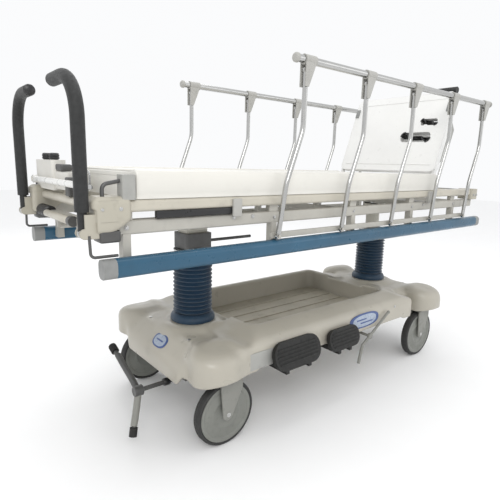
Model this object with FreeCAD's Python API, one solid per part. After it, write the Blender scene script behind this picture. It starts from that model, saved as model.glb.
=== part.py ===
import FreeCAD, Part
import math
import os

# Hospital stretcher trolley. Units are millimetres, +Z is up, the origin is on the floor
# under the middle of the litter. +X runs towards the head end, -Y is the near side.

# --- base and casters ---
WHEEL_R = 120.0                 # outer radius of the rolling tyre
RIM_R = 106.0                   # radius where the tyre meets the wheel disc
WHEEL_W = 36.0                  # tyre width
TRAIL = 25.0                    # distance from swivel axis to axle
SWIVEL_X = (-625.0, 655.0)      # foot and head swivel axes
SWIVEL_Y = 305.0                # half of the wheel track
AXLE_R = 6.0
STEM_R = 20.0                   # swivel stem
RUN_FIT = 0.05                  # radial clearance of a running fit
BEAM_Z0 = 265.0                 # underside of the steel chassis
BEAM_Z1 = 290.0
CHASSIS_Z1 = 285.0              # top of the two long rails
RAIL_Y = 150.0                  # long rails of the chassis

HOOD_TOP = 370.0                # hood surface round the columns
LOBE_TOP = 385.0                # rounded hood over each caster
LOBE_R = 98.0
HOOD_Z0 = 250.0                 # lower edge of the hood over the casters
WALL = 5.0                      # moulded wall thickness
RIM_Z = 396.0                   # raised rim along the storage well
WELL_Y = 245.0                  # half width of the storage well
WELL_X = (-480.0, 370.0)        # foot and head ends of the storage well
HOOD_END_X = (-783.0, 800.0)    # outer ends of the hood
LOBE_X = ((-683.0, -655.0), (700.0, 655.0))     # outer and inner centres of each caster lobe
LINK_LEN = 100.0                # hood between the lobes and the storage well
SKIRT_Z = 212.0                 # lower edge of the end skirts
SKIRT_Y = 225.0                 # half width of the end skirts

# --- pedals under the base ---
PEDAL_Y = -215.0                # pump pedal shafts
PEDAL_Z = 236.0
PEDAL_SHAFT_R = 6.0
RAISE_X = (-480.0, -240.0)      # broad pedal that raises the litter
LOWER_X = (-180.0, 10.0)        # smaller pedal that lowers it
PAD_HEIGHT = (108.0, 88.0)      # height of the raise and lower pads
PAD_Y = -375.0                  # middle of the pads, outside the side moulding
PAD_Z0 = 244.0                  # lowest edge of the pads
PAD_LEAN = 18.0                 # degrees the pads lean back from upright
LEVER_PIVOT = (120.0, 240.0)    # x and z of the side lever pivot
LEVER_Y = -362.0
BRAKE_X = -880.0                # brake and steer pedal
BRAKE_Y = -100.0
BRAKE_Z = 185.0
BRAKE_R = 8.0
BRAKE_HANGER_X = (-690.0, 60.0, 655.0)

# --- lifting columns ---
COLUMN_X = 590.0                # both columns stand this far from the middle
JACK_R = 52.0
BORE_R = 46.0                   # bore of the fixed cylinder
INNER_R = 36.0                  # bore of the lifting stage
JACK_Z = (105.0, 160.0, 395.0)  # foot, shoulder and top of the fixed cylinder
STAGE_Z0 = 352.0                # lower end of the lifting stage when raised
FLANGE_Z = (651.0, 657.0)       # collar that carries the top of the bellows
BELLOWS_Z = (371.0, 650.0)
BELLOWS_R = 78.0
PIVOT_Z = 768.0                 # litter tilt axis
TILT_PIN_R = (12.0, 10.0)       # foot pin turns in a round hole, head pin runs in a slot
BLOCK_Z = (662.0, 722.0)
NECK_Z0 = 744.0                 # lower end of the head column neck
NECK_TOP = 793.0
NECK_X = 50.0                   # half length of the column neck
NECK_Y = 35.0

# --- litter ---
BEAM_Y = (285.0, 315.0)         # lower litter beams
LOW_BEAM_Z = (787.0, 827.0)
TUBE_Y = (280.0, 328.0)         # upper side tubes
TUBE_Z = (850.0, 885.0)
LITTER_X = 1020.0               # half length of the upper side tubes
DECK_X = (-975.0, 640.0)
DECK_Z1 = 965.0                 # lying surface
DECK_Y = 328.0
BUMPER_Y = 345.0
BUMPER_Z = 705.0
BUMPER_X = 1085.0               # half length of the side bumpers
BUMPER_H = 54.0
BUMPER_W = 45.0
BUMPER_EDGE = 18.0              # rounded long edges
CAP_LEN = 36.0
END_X = 1136.0                  # half length over everything
CASTING_X = 1092.0              # outer face of the corner castings
END_TUBE_X = 1056.0
HANGER_X = (-1000.0, -450.0, 0.0, 450.0, 860.0)
MOUNT_Y = (334.0, 344.0)        # bars that carry the feet of the rail posts

# --- infusion pole, stowed along the foot end ---
POLE_X = -1085.0
POLE_Y = 268.0
POLE_Z = 917.0
POLE_R = 10.0
POLE_TIP_Y = -272.0
MAST_R = 6.5
MAST_Y = (90.0, -290.0)         # inner and outer end of the mast when pushed in
POLE_PIN_R = 5.0

# --- backrest ---
BACK_HINGE = (660.0, 945.0)     # x and z of the backrest hinge
BACK_LEN = 460.0
BACK_Y = 298.0
BACK_T = (-15.0, 20.0)          # panel below and above the hinge line
BACK_RISE = 70.0                # degrees above flat in the shown position
BACK_SLOTS = ((215.0, -140.0, 170.0, 54.0), (298.0, -195.0, 92.0, 36.0))   # along, across, length, width
BRACE_Y = (238.0, 250.0)        # side plates behind the back

# --- side rails ---
POST_X = tuple(-470.0 + 340.0 * i for i in range(5))    # feet of the five posts
POST_Y = 360.0
POST_FOOT_Z = 747.0
POST_HEAD_Z = 1303.0
POST_LEAN = 97.0                # the post heads stand this far towards the head end
POST_R = 9.0
TOP_TUBE_Z = 1335.0
TOP_TUBE_R = 13.0
TOP_OVERHANG = (42.0, 52.0)     # top tube beyond the outer posts
PIN_R = 4.0
CHEEK_GAP = 10.5                # half gap between the two knuckle plates
CHEEK_T = 4.0

# --- push handles ---
HANDLE_X = -1118.0
HANDLE_Y = 312.0
HANDLE_Z = 800.0                # hinge height of the handles
HANDLE_TOP = 1200.0
HANDLE_TIP_Y = 125.0
HANDLE_BEND = 110.0
HANDLE_CORE_R = 12.0
HANDLE_PIN_R = 5.0
GRIP_Z0 = 856.0                 # lower end of the soft grip

V = FreeCAD.Vector
os.makedirs("parts", exist_ok=True)


def box(x, y, z):
    """Box from three (low, high) pairs."""
    return Part.makeBox(x[1] - x[0], y[1] - y[0], z[1] - z[0], V(x[0], y[0], z[0]))


def rod(start, end, radius):
    """Round bar between two points."""
    a = V(*start)
    b = V(*end)
    return Part.makeCylinder(radius, (b - a).Length, a, b - a)


def tube(start, end, outer, inner):
    return rod(start, end, outer).cut(rod(start, end, inner))


def soft_box(x, y, z, radius, along):
    """Box whose edges parallel to one axis are rounded."""
    shape = box(x, y, z)
    axis = {"x": V(1, 0, 0), "y": V(0, 1, 0), "z": V(0, 0, 1)}[along]
    edges = [e for e in shape.Edges if abs(e.tangentAt(e.FirstParameter).dot(axis)) > 0.9]
    return shape.makeFillet(radius, edges)


def prism(points, direction):
    """Closed polygon pushed along a vector."""
    corners = [V(*p) for p in points]
    return Part.Face(Part.makePolygon(corners + corners[:1])).extrude(V(*direction))


def fuse(shapes):
    """Join overlapping pieces of one moulding or weldment."""
    whole = shapes[0].fuse(shapes[1:])
    return whole.removeSplitter()


def far(shape):
    """Copy of a near-side piece on the far side."""
    return shape.mirror(V(0, 0, 0), V(0, 1, 0))


def both(shape):
    return [shape, far(shape)]


def pipe(points, radius, bend):
    """Round bar through points with rounded bends, made of straight runs and arcs."""
    pts = [V(*p) for p in points]
    edges = []
    last = pts[0]
    for i in range(1, len(pts) - 1):
        before = (pts[i - 1] - pts[i]).normalize()
        after = (pts[i + 1] - pts[i]).normalize()
        turn = math.pi - before.getAngle(after)
        cut = bend * math.tan(turn / 2)
        start = pts[i] + before * cut
        end = pts[i] + after * cut
        inward = (before + after).normalize()
        middle = pts[i] + inward * (bend / math.cos(turn / 2) - bend)
        edges.append(Part.makeLine(last, start))
        edges.append(Part.Arc(start, middle, end).toShape())
        last = end
    edges.append(Part.makeLine(last, pts[-1]))
    path = Part.Wire(edges)
    circle = Part.Wire(Part.makeCircle(radius, pts[0], pts[1] - pts[0]))
    return path.makePipeShell([circle], True, False)


def save(name, shapes):
    """Write one node; a list becomes a group of separate solids."""
    if isinstance(shapes, list):
        shapes = Part.makeCompound(shapes)
    shapes.exportStep("parts/" + name + ".step")


# ---------------------------------------------------------------- base

def pedal_hanger(x_low, x_high, y, z, radius):
    """Two plates under the chassis with running holes for a pedal shaft along X."""
    pieces = []
    for x in (x_low, x_high):
        pieces.append(box((x - 5, x + 5), (y - 15, y + 15), (z - 15, BEAM_Z0)))
        pieces.append(box((x - 5, x + 5), (y - 15, -RAIL_Y), (BEAM_Z0 - 8, BEAM_Z0)))
    hanger = fuse(pieces)
    return hanger.cut(rod((x_low - 10, y, z), (x_high + 10, y, z), radius + RUN_FIT))


def base_frame():
    pieces = []
    for swivel, column in zip(SWIVEL_X, (-COLUMN_X, COLUMN_X)):
        pieces.append(box((swivel - 45, swivel + 45), (-330, 330), (BEAM_Z0, BEAM_Z1)))
        pieces.append(box((column - 70, column + 70), (-200, 200), (BEAM_Z0, BEAM_Z1)))
    for side in (-1, 1):
        pieces.append(box((-600, 620), (side * RAIL_Y - 20, side * RAIL_Y + 20), (BEAM_Z0, CHASSIS_Z1)))
    for span in (RAISE_X, LOWER_X):
        hanger = pedal_hanger(span[0] + 30, span[1] - 30, PEDAL_Y, PEDAL_Z, PEDAL_SHAFT_R)
        pieces += both(hanger)
    lever_span = (LEVER_PIVOT[0] - 15, LEVER_PIVOT[0] + 15)
    lever_arm = box(lever_span, (-285, -RAIL_Y), (BEAM_Z0 - 10, BEAM_Z0))
    lever_plate = box(lever_span, (-285, -275), (LEVER_PIVOT[1] - 15, BEAM_Z0))
    pieces += [lever_arm, lever_plate]
    for x in BRAKE_HANGER_X:
        pieces.append(box((x - 5, x + 5), (BRAKE_Y - 15, BRAKE_Y + 15), (BRAKE_Z - 16, BEAM_Z0 + 5)))
    pieces.append(box((-695, -640), (-120, -80), (BEAM_Z0, CHASSIS_Z1)))
    pieces.append(box((55, 65), (-150, -85), (BEAM_Z0, CHASSIS_Z1)))
    frame = fuse(pieces)
    for swivel in SWIVEL_X:
        for side in (-1, 1):
            y = side * SWIVEL_Y
            frame = frame.cut(rod((swivel, y, BEAM_Z0 - 1), (swivel, y, BEAM_Z1 + 1), STEM_R + RUN_FIT))
    for x in (-COLUMN_X, COLUMN_X):
        frame = frame.cut(rod((x, 0, BEAM_Z0 - 1), (x, 0, BEAM_Z1 + 1), JACK_R))
    frame = frame.cut(rod((-720, BRAKE_Y, BRAKE_Z), (700, BRAKE_Y, BRAKE_Z), BRAKE_R + RUN_FIT))
    pivot = (LEVER_PIVOT[0], LEVER_PIVOT[1])
    frame = frame.cut(rod((pivot[0], -290, pivot[1]), (pivot[0], -270, pivot[1]), PEDAL_SHAFT_R + RUN_FIT))
    return frame


def lobe(x_outer, x_inner, radius, z_low, z_high, crown):
    """Rounded cover over one caster, long axis along X, on the near side."""
    y = -300.0
    body = fuse([
        rod((x_outer, y, z_low), (x_outer, y, z_high), radius),
        rod((x_inner, y, z_low), (x_inner, y, z_high), radius),
        box((min(x_outer, x_inner), max(x_outer, x_inner)), (y - radius, y + radius), (z_low, z_high)),
    ])
    top = [e for e in body.Edges if all(abs(v.Z - z_high) < 1e-6 for v in e.Vertexes)]
    return body.makeFillet(crown, top)


def hood(end_x, well_x, lobe_x, column_x):
    """One end of the moulded base cover: two caster lobes and the skirt round a column."""
    step = math.copysign(1.0, well_x - end_x)
    low_x = min(end_x, well_x)
    high_x = max(end_x, well_x)
    outer = [soft_box((low_x, high_x), (-250, 250), (HOOD_Z0, HOOD_TOP), 20, "z")]
    link = sorted((well_x, well_x - step * LINK_LEN))
    outer.append(box(link, (-WELL_Y - 90, WELL_Y + 90), (HOOD_Z0 + 20, HOOD_TOP)))
    outer += both(lobe(lobe_x[0], lobe_x[1], LOBE_R, HOOD_Z0, LOBE_TOP, 40))
    shell = fuse(outer)
    inner = [box((low_x + WALL, high_x - WALL), (-250 + WALL, 250 - WALL), (HOOD_Z0 - 1, HOOD_TOP - WALL))]
    hollow = sorted((well_x - step * WALL, well_x - step * (LINK_LEN + 10)))
    inner.append(box(hollow, (-WELL_Y - 85, WELL_Y + 85), (HOOD_Z0 - 1, HOOD_TOP - WALL)))
    inner += both(lobe(lobe_x[0], lobe_x[1], LOBE_R - WALL, HOOD_Z0 - 1, LOBE_TOP - WALL, 36))
    shell = shell.cut(fuse(inner))
    boss_x = column_x - step * 25
    bosses = [rod((boss_x, y, BEAM_Z1), (boss_x, y, HOOD_TOP - WALL), 10) for y in (-200, 200)]
    skirt = box((min(end_x, end_x + step * WALL), max(end_x, end_x + step * WALL)),
                (-SKIRT_Y, SKIRT_Y), (SKIRT_Z, HOOD_Z0 + 20))
    shell = fuse([shell, skirt] + bosses)
    rail_notch = box(sorted((well_x + step, well_x - step * (WALL + 1))), (-RAIL_Y - 20.5, RAIL_Y + 20.5),
                     (HOOD_Z0 - 1, CHASSIS_Z1 + 0.5))
    shell = shell.cut(rail_notch)
    return shell.cut(rod((column_x, 0, 200), (column_x, 0, 400), JACK_R + 4))


def base_sides():
    """Side mouldings between the lobes, with the raised rim of the storage well."""
    profile = [
        (WELL_X[0], -WELL_Y, BEAM_Z1), (WELL_X[0], -WELL_Y, RIM_Z), (WELL_X[0], -WELL_Y - 18, RIM_Z),
        (WELL_X[0], -335, 362), (WELL_X[0], -348, 320), (WELL_X[0], -348, 270), (WELL_X[0], -300, 270),
        (WELL_X[0], -300, BEAM_Z1),
    ]
    near = prism(profile, (WELL_X[1] - WELL_X[0], 0, 0))
    return both(near)


def storage_tray():
    """Ribbed floor of the storage well, lying on the chassis rails."""
    floor = box(WELL_X, (-WELL_Y, WELL_Y), (CHASSIS_Z1, BEAM_Z1))
    ribs = [box((WELL_X[0] + 20, WELL_X[1] - 20), (y - 4, y + 4), (BEAM_Z1, BEAM_Z1 + 4))
            for y in (-160, -80, 0, 80, 160)]
    return fuse([floor] + ribs)


def jack_cylinder(x):
    body = fuse([
        rod((x, 0, JACK_Z[0]), (x, 0, JACK_Z[1]), 32),
        rod((x, 0, JACK_Z[1]), (x, 0, JACK_Z[2]), JACK_R),
    ])
    return body.cut(rod((x, 0, JACK_Z[1] + 8), (x, 0, JACK_Z[2] + 1), BORE_R))


def bellows(x):
    z0, z1 = BELLOWS_Z
    skirt = tube((x, 0, z0), (x, 0, z0 + 14), BELLOWS_R + 12, JACK_R + 4)
    return fuse([skirt, tube((x, 0, z0), (x, 0, z1), BELLOWS_R, JACK_R + 4)])


def brake_lever():
    """Long shaft under the base with the two-armed brake and steer pedal."""
    x = BRAKE_X
    shaft = rod((x - 10, BRAKE_Y, BRAKE_Z), (680, BRAKE_Y, BRAKE_Z), BRAKE_R)
    hub = rod((x - 12, BRAKE_Y, BRAKE_Z), (x + 12, BRAKE_Y, BRAKE_Z), 16)
    long_arm = rod((x, BRAKE_Y, BRAKE_Z), (x, 95, 262), 9)
    short_arm = rod((x, BRAKE_Y, BRAKE_Z), (x - 32, -128, 68), 9)
    return fuse([shaft, hub, long_arm, short_arm])


def brake_pads():
    """Rubber foot pads at the ends of the brake pedal arms."""
    long_pad = rod((-880, 96, 262.4), (-880, 128, 274.5), 14)
    short_pad = rod((-912.2, -128.2, 67.3), (-920, -135, 38), 14)
    return [long_pad, short_pad]


def foot_pedal(span, height):
    """Pump or release pedal of the near side: shaft, two arms and an upright oval pad."""
    low, high = span
    middle_z = PAD_Z0 + height / 2 * math.cos(math.radians(PAD_LEAN))
    shaft = rod((low + 20, PEDAL_Y, PEDAL_Z), (high - 20, PEDAL_Y, PEDAL_Z), PEDAL_SHAFT_R)
    pieces = [shaft]
    for x in (low + 60, high - 60):
        pieces.append(box((x - 8, x + 8), (PAD_Y - 14, PEDAL_Y + 8), (PEDAL_Z - 9, PEDAL_Z + 7)))
        pieces.append(box((x - 8, x + 8), (PAD_Y - 14, PAD_Y + 4), (PEDAL_Z - 9, middle_z - 10)))
    pad = soft_box((low, high), (PAD_Y - 9, PAD_Y + 9), (middle_z - height / 2, middle_z + height / 2),
                   height / 2 - 4, "y")
    pad.rotate(V(0, PAD_Y, middle_z), V(1, 0, 0), -PAD_LEAN)
    return fuse(pieces + [pad])


def side_lever():
    """Bright bent lever hanging below the near side moulding."""
    x, z = LEVER_PIVOT
    y = LEVER_Y
    elbow = (x - 50, y, z - 32)
    tip = (x + 134, y, z + 86)
    pin = rod((x, y - 6, z), (x, -268, z), PEDAL_SHAFT_R)
    eye = rod((x, y - 6, z), (x, y + 6, z), 13)
    foot = rod(elbow, (x - 69, y, z - 113), 7)
    knobs = [Part.makeSphere(7, V(*elbow)), Part.makeSphere(8, V(*tip))]
    return fuse([pin, eye, rod(tip, elbow, 6), foot] + knobs)


# ---------------------------------------------------------------- casters

def fork(x, y):
    axle_x = x - TRAIL
    legs = []
    for side in (-1, 1):
        y0 = y + side * 23 - 3
        blade = prism([(axle_x - 24, y0, WHEEL_R), (axle_x + 24, y0, WHEEL_R),
                       (x + 30, y0, 246), (x - 52, y0, 246)], (0, 6, 0))
        legs.append(blade)
        legs.append(rod((axle_x, y0, WHEEL_R), (axle_x, y0 + 6, WHEEL_R), 24))
    crown = box((x - 52, x + 30), (y - 26, y + 26), (244, 254))
    bearing = rod((x, y, 254), (x, y, BEAM_Z0 - 0.5), 28)
    stem = rod((x, y, 254), (x, y, BEAM_Z1 - 2), STEM_R)
    axle = rod((axle_x, y - 30, WHEEL_R), (axle_x, y + 30, WHEEL_R), AXLE_R)
    return fuse(legs + [crown, bearing, stem, axle])


def wheel_disc(x, y):
    half = WHEEL_W / 2
    disc = rod((x, y - half + 4, WHEEL_R), (x, y + half - 4, WHEEL_R), RIM_R)
    boss = rod((x, y - half, WHEEL_R), (x, y + half, WHEEL_R), 22)
    bore = rod((x, y - half - 1, WHEEL_R), (x, y + half + 1, WHEEL_R), AXLE_R + RUN_FIT)
    return fuse([disc, boss]).cut(bore)


def tyre(x, y):
    half = WHEEL_W / 2
    ring = tube((x, y - half, WHEEL_R), (x, y + half, WHEEL_R), WHEEL_R, RIM_R)
    outer = [e for e in ring.Edges if e.Curve.TypeId == "Part::GeomCircle" and e.Curve.Radius > WHEEL_R - 1]
    return ring.makeFillet(8, outer)


# ---------------------------------------------------------------- columns

def column_stages():
    stages = []
    for x, top in ((-COLUMN_X, BLOCK_Z[0]), (COLUMN_X, FLANGE_Z[1])):
        stage = fuse([
            rod((x, 0, STAGE_Z0), (x, 0, top), BORE_R - RUN_FIT),
            rod((x, 0, FLANGE_Z[0]), (x, 0, FLANGE_Z[1]), BELLOWS_R - 2),
        ])
        stages.append(stage.cut(rod((x, 0, STAGE_Z0 + 10), (x, 0, top + 1), INNER_R)))
    return stages


def neck(x, z_low, pin_r):
    """Column neck with the cross pin that carries the litter."""
    body = soft_box((x - NECK_X, x + NECK_X), (-NECK_Y, NECK_Y), (z_low, NECK_TOP), 12, "z")
    return fuse([body, rod((x, -54, PIVOT_Z), (x, 54, PIVOT_Z), pin_r)])


def foot_pivot():
    block = soft_box((-COLUMN_X - 58, -COLUMN_X + 58), (-50, 50), BLOCK_Z, 10, "z")
    link = rod((-COLUMN_X + 50, -38, 690), (-COLUMN_X + 260, -38, 690), 6)
    return fuse([block, link, neck(-COLUMN_X, BLOCK_Z[1], TILT_PIN_R[0])])


def head_ram():
    ram = rod((COLUMN_X, 0, 500), (COLUMN_X, 0, NECK_Z0 + 6), INNER_R - RUN_FIT)
    return fuse([ram, neck(COLUMN_X, NECK_Z0, TILT_PIN_R[1])])


# ---------------------------------------------------------------- litter

def tilt_bracket(x, y_low, slot):
    """Plate under the litter frame; the head one has a slot instead of a round hole."""
    plate = fuse([
        box((x - 28, x + 28), (y_low, y_low + 12), (PIVOT_Z, LOW_BEAM_Z[1])),
        rod((x, y_low, PIVOT_Z), (x, y_low + 12, PIVOT_Z), 15.5),
    ])
    if slot:
        hole = box((x - 14, x + 14), (y_low - 1, y_low + 13), (PIVOT_Z - 12, PIVOT_Z + 12))
    else:
        hole = rod((x, y_low - 1, PIVOT_Z), (x, y_low + 13, PIVOT_Z), TILT_PIN_R[0] + RUN_FIT)
    return plate.cut(hole)


def litter_frame():
    near_beam = soft_box((-1070, 1070), (-BEAM_Y[1], -BEAM_Y[0]), LOW_BEAM_Z, 6, "x")
    pieces = both(near_beam)
    for x in (-END_TUBE_X, 0.0, END_TUBE_X):
        pieces.append(box((x - 15, x + 15), (-BEAM_Y[1] + 5, BEAM_Y[1] - 5), (790, 815)))
    for x in (-COLUMN_X, COLUMN_X):
        pieces.append(box((x - 60, x + 60), (-BEAM_Y[1] + 5, BEAM_Y[1] - 5), (803, LOW_BEAM_Z[1])))
        for y_low in (-50, 38):
            pieces.append(tilt_bracket(x, y_low, x > 0))
    for y in (-100, 100):
        pieces.append(rod((-END_TUBE_X, y, 766), (-650, y, 766), 9))
        pieces.append(box((-END_TUBE_X - 8, -END_TUBE_X + 8), (y - 6, y + 6), (762, 795)))
        pieces.append(box((-650, -638), (y - 6, y + 6), (762, 808)))
    for x in HANGER_X:
        near = [
            box((x - 20, x + 20), (-310, -290), (820, TUBE_Z[0])),
            box((x - 12, x + 12), (-316, -288), (BUMPER_Z - 12, 790)),
            box((x - 12, x + 12), (-BUMPER_Y + BUMPER_W / 2, -302), (BUMPER_Z - 12, BUMPER_Z + 12)),
        ]
        if x > -500:
            near.append(box((x - 12, x + 12), (-MOUNT_Y[0], -302), (POST_FOOT_Z - 8, POST_FOOT_Z + 8)))
        for piece in near:
            pieces += both(piece)
    return fuse(pieces)


def side_tubes():
    """Upper side tubes with the backrest hinge ears welded on, and the two end tubes."""
    x, z = BACK_HINGE
    near = fuse([
        soft_box((-LITTER_X, LITTER_X), (-TUBE_Y[1], -TUBE_Y[0]), TUBE_Z, 10, "x"),
        box((x - 12, x + 12), (-310, -302), (TUBE_Z[1] - 5, z)),
        rod((x, -310, z), (x, -302, z), 12),
        rod((x, -310, z), (x, -281, z), 6),
    ])
    ends = [rod((x_end, -255, 862), (x_end, 255, 862), 14) for x_end in (-END_TUBE_X, END_TUBE_X)]
    return both(near) + ends


def deck():
    """Moulded lying surface from the foot end to the backrest hinge."""
    outer = soft_box(DECK_X, (-DECK_Y, DECK_Y), (TUBE_Z[1], DECK_Z1), 14, "x")
    inner = box((DECK_X[0] + 14, DECK_X[1] - 14), (-DECK_Y + 14, DECK_Y - 14), (TUBE_Z[1] - 1, DECK_Z1 - 14))
    return outer.cut(inner)


def corner_castings():
    """Four corner castings; the foot ones carry the handle clevises and a guard rod."""
    x_end = CASTING_X
    head = soft_box((LITTER_X, x_end), (-340, -255), (828, TUBE_Z[1]), 16, "z")
    foot = soft_box((-x_end, -LITTER_X), (-340, -255), (828, TUBE_Z[1]), 16, "z")
    pieces = [foot]
    for y in (-HANDLE_Y - 19, -HANDLE_Y + 14):
        pieces.append(box((HANDLE_X, -x_end + 20), (y, y + 5), (HANDLE_Z - 14, 850)))
        pieces.append(rod((HANDLE_X, y, HANDLE_Z), (HANDLE_X, y + 5, HANDLE_Z), 14))
    pieces.append(rod((HANDLE_X, -HANDLE_Y - 19, HANDLE_Z), (HANDLE_X, -HANDLE_Y + 19, HANDLE_Z), HANDLE_PIN_R))
    pieces.append(pipe([(-1108, -329, 795), (-1108, -336, 738), (-1035, -336, 738)], 4, 12))
    foot = fuse(pieces)
    rest = box((-x_end, -1078), (-270, -256), (TUBE_Z[1], 905))
    stop = soft_box((-LITTER_X + 2, DECK_X[0] - 3), (-336, -298), (TUBE_Z[1], 952), 6, "z")
    return [fuse([foot, rest]), far(foot)] + both(head) + both(stop)


def bumper_piece(low_x, high_x):
    """Length of the near side bumper section."""
    y = (-BUMPER_Y - BUMPER_W / 2, -BUMPER_Y + BUMPER_W / 2)
    z = (BUMPER_Z - BUMPER_H / 2, BUMPER_Z + BUMPER_H / 2)
    return soft_box((low_x, high_x), y, z, BUMPER_EDGE, "x")


def bumper():
    return bumper_piece(-BUMPER_X + CAP_LEN, BUMPER_X - CAP_LEN)


def bumper_caps():
    caps = [bumper_piece(-BUMPER_X, -BUMPER_X + CAP_LEN), bumper_piece(BUMPER_X - CAP_LEN, BUMPER_X)]
    return caps + [far(c) for c in caps]


def rail_mounts():
    """Bars beside the litter that carry the pins at the feet of the rail posts."""
    z = POST_FOOT_Z
    pieces = [box((POST_X[0] - 20, POST_X[-1] + 20), (-MOUNT_Y[1], -MOUNT_Y[0]), (z - 10, z + 10))]
    for x in POST_X:
        pieces.append(rod((x, -POST_Y - 9, z), (x, -MOUNT_Y[1] + 2, z), PIN_R))
        pieces.append(rod((x, -POST_Y - 9, z), (x, -POST_Y - 6.5, z), 5.5))
    return both(fuse(pieces))


def head_bumper():
    return soft_box((1092, END_X), (-240, 240), (836, 878), 18, "z")


def foot_end_box():
    """Moulded control box on the far foot corner, with two knobs and the pole pivot."""
    pieces = [
        soft_box((-1070, -1024), (100, 308), (TUBE_Z[1], 985), 12, "z"),
        soft_box((-1064, -1026), (-30, 100), (892, 948), 8, "z"),
        rod((-1048, 150, 985), (-1048, 150, 1006), 13),
        rod((-1048, 235, 985), (-1048, 235, 1006), 13),
        rod((-1094, POLE_Y, POLE_Z), (-1060, POLE_Y, POLE_Z), POLE_PIN_R),
        rod((-1096, POLE_Y, POLE_Z), (-1094, POLE_Y, POLE_Z), 9),
    ]
    return fuse(pieces)


# ---------------------------------------------------------------- infusion pole

def iv_pole():
    """Outer tube of the folding infusion pole, stowed along the foot end."""
    eye = rod((POLE_X - 7, POLE_Y, POLE_Z), (POLE_X + 7, POLE_Y, POLE_Z), 14)
    body = fuse([eye, rod((POLE_X, POLE_Y - 13, POLE_Z), (POLE_X, POLE_TIP_Y, POLE_Z), POLE_R)])
    body = body.cut(rod((POLE_X - 11, POLE_Y, POLE_Z), (POLE_X + 11, POLE_Y, POLE_Z), POLE_PIN_R + RUN_FIT))
    return body.cut(rod((POLE_X, POLE_Y - 20, POLE_Z), (POLE_X, -280, POLE_Z), MAST_R + RUN_FIT))


def iv_mast():
    """Inner rod of the pole with a bag hook."""
    mast = rod((POLE_X, MAST_Y[0], POLE_Z), (POLE_X, MAST_Y[1], POLE_Z), MAST_R)
    hook = pipe([(POLE_X, -272, POLE_Z + 42), (POLE_X, -286, POLE_Z + 36), (POLE_X, -286, POLE_Z)], 3, 8)
    return fuse([mast, hook])


# ---------------------------------------------------------------- push handles

def push_handle():
    """Near handle: steel tube with a full-length soft grip, hinged at the corner casting."""
    corner = (HANDLE_X, -HANDLE_Y, HANDLE_TOP)
    tip = (HANDLE_X, -HANDLE_TIP_Y, HANDLE_TOP)
    shape = [(HANDLE_X, -HANDLE_Y, HANDLE_Z), corner, tip]
    grip_path = [(HANDLE_X, -HANDLE_Y, GRIP_Z0), corner, tip]
    core = fuse([
        pipe(shape, HANDLE_CORE_R, HANDLE_BEND),
        rod((HANDLE_X, -HANDLE_Y - 7, HANDLE_Z), (HANDLE_X, -HANDLE_Y + 7, HANDLE_Z), 13),
    ])
    pin = rod((HANDLE_X, -HANDLE_Y - 14, HANDLE_Z), (HANDLE_X, -HANDLE_Y + 14, HANDLE_Z), HANDLE_PIN_R + RUN_FIT)
    core = core.cut(pin)
    grip = pipe(grip_path, END_X + HANDLE_X, HANDLE_BEND).cut(pipe(grip_path, HANDLE_CORE_R, HANDLE_BEND))
    return [core, grip]


# ---------------------------------------------------------------- backrest

def lift_back(shape):
    """Turn a flat-modelled backrest piece up to its shown angle."""
    shape.rotate(V(BACK_HINGE[0], 0, BACK_HINGE[1]), V(0, 1, 0), -BACK_RISE)
    return shape


def back_box(u, y, w, radius=0.0, along="x"):
    """Box in backrest coordinates: u from the hinge to the top edge, w above the hinge line."""
    x = (BACK_HINGE[0] + u[0], BACK_HINGE[0] + u[1])
    z = (BACK_HINGE[1] + w[0], BACK_HINGE[1] + w[1])
    if radius:
        return soft_box(x, y, z, radius, along)
    return box(x, y, z)


def backrest_panel():
    """Moulded back with two hand slots near one edge and hinge eyes at the bottom."""
    x, z = BACK_HINGE
    pieces = [back_box((25, BACK_LEN), (-BACK_Y, BACK_Y), BACK_T, 30, "z")]
    for side in (-1, 1):
        y_low = min(side * 283, side * 297)
        pieces.append(back_box((0, 60), (y_low, y_low + 14), (-10, 10)))
        pieces.append(rod((x, y_low, z), (x, y_low + 14, z), 11))
    panel = fuse(pieces)
    for u_mid, y_mid, length, width in BACK_SLOTS:
        slot = back_box((u_mid - width / 2, u_mid + width / 2), (y_mid - length / 2, y_mid + length / 2),
                        (-30, 30), width / 2 - 4, "z")
        panel = panel.cut(slot)
    panel = panel.cut(rod((x, -320, z), (x, 320, z), 6 + RUN_FIT))
    return lift_back(panel)


def back_profile(corners, y_low, y_high):
    """Plate with a side outline given in backrest coordinates."""
    points = [(BACK_HINGE[0] + u, y_low, BACK_HINGE[1] + w) for u, w in corners]
    return prism(points, (0, y_high - y_low, 0))


def backrest_braces():
    outline = [(40, BACK_T[0]), (420, BACK_T[0]), (325, -150), (165, -150)]
    near = back_profile(outline, -BRACE_Y[1], -BRACE_Y[0])
    return [lift_back(piece) for piece in both(near)]


def backrest_cover():
    outline = [(165, -150), (325, -150), (340, -122), (140, -122)]
    return lift_back(back_profile(outline, -BRACE_Y[0], BRACE_Y[0]))


def backrest_grip():
    grip = back_box((BACK_LEN, BACK_LEN + 30), (-290, -165), (-14, 18), 13, "y")
    return lift_back(grip)


# ---------------------------------------------------------------- side rails

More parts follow.
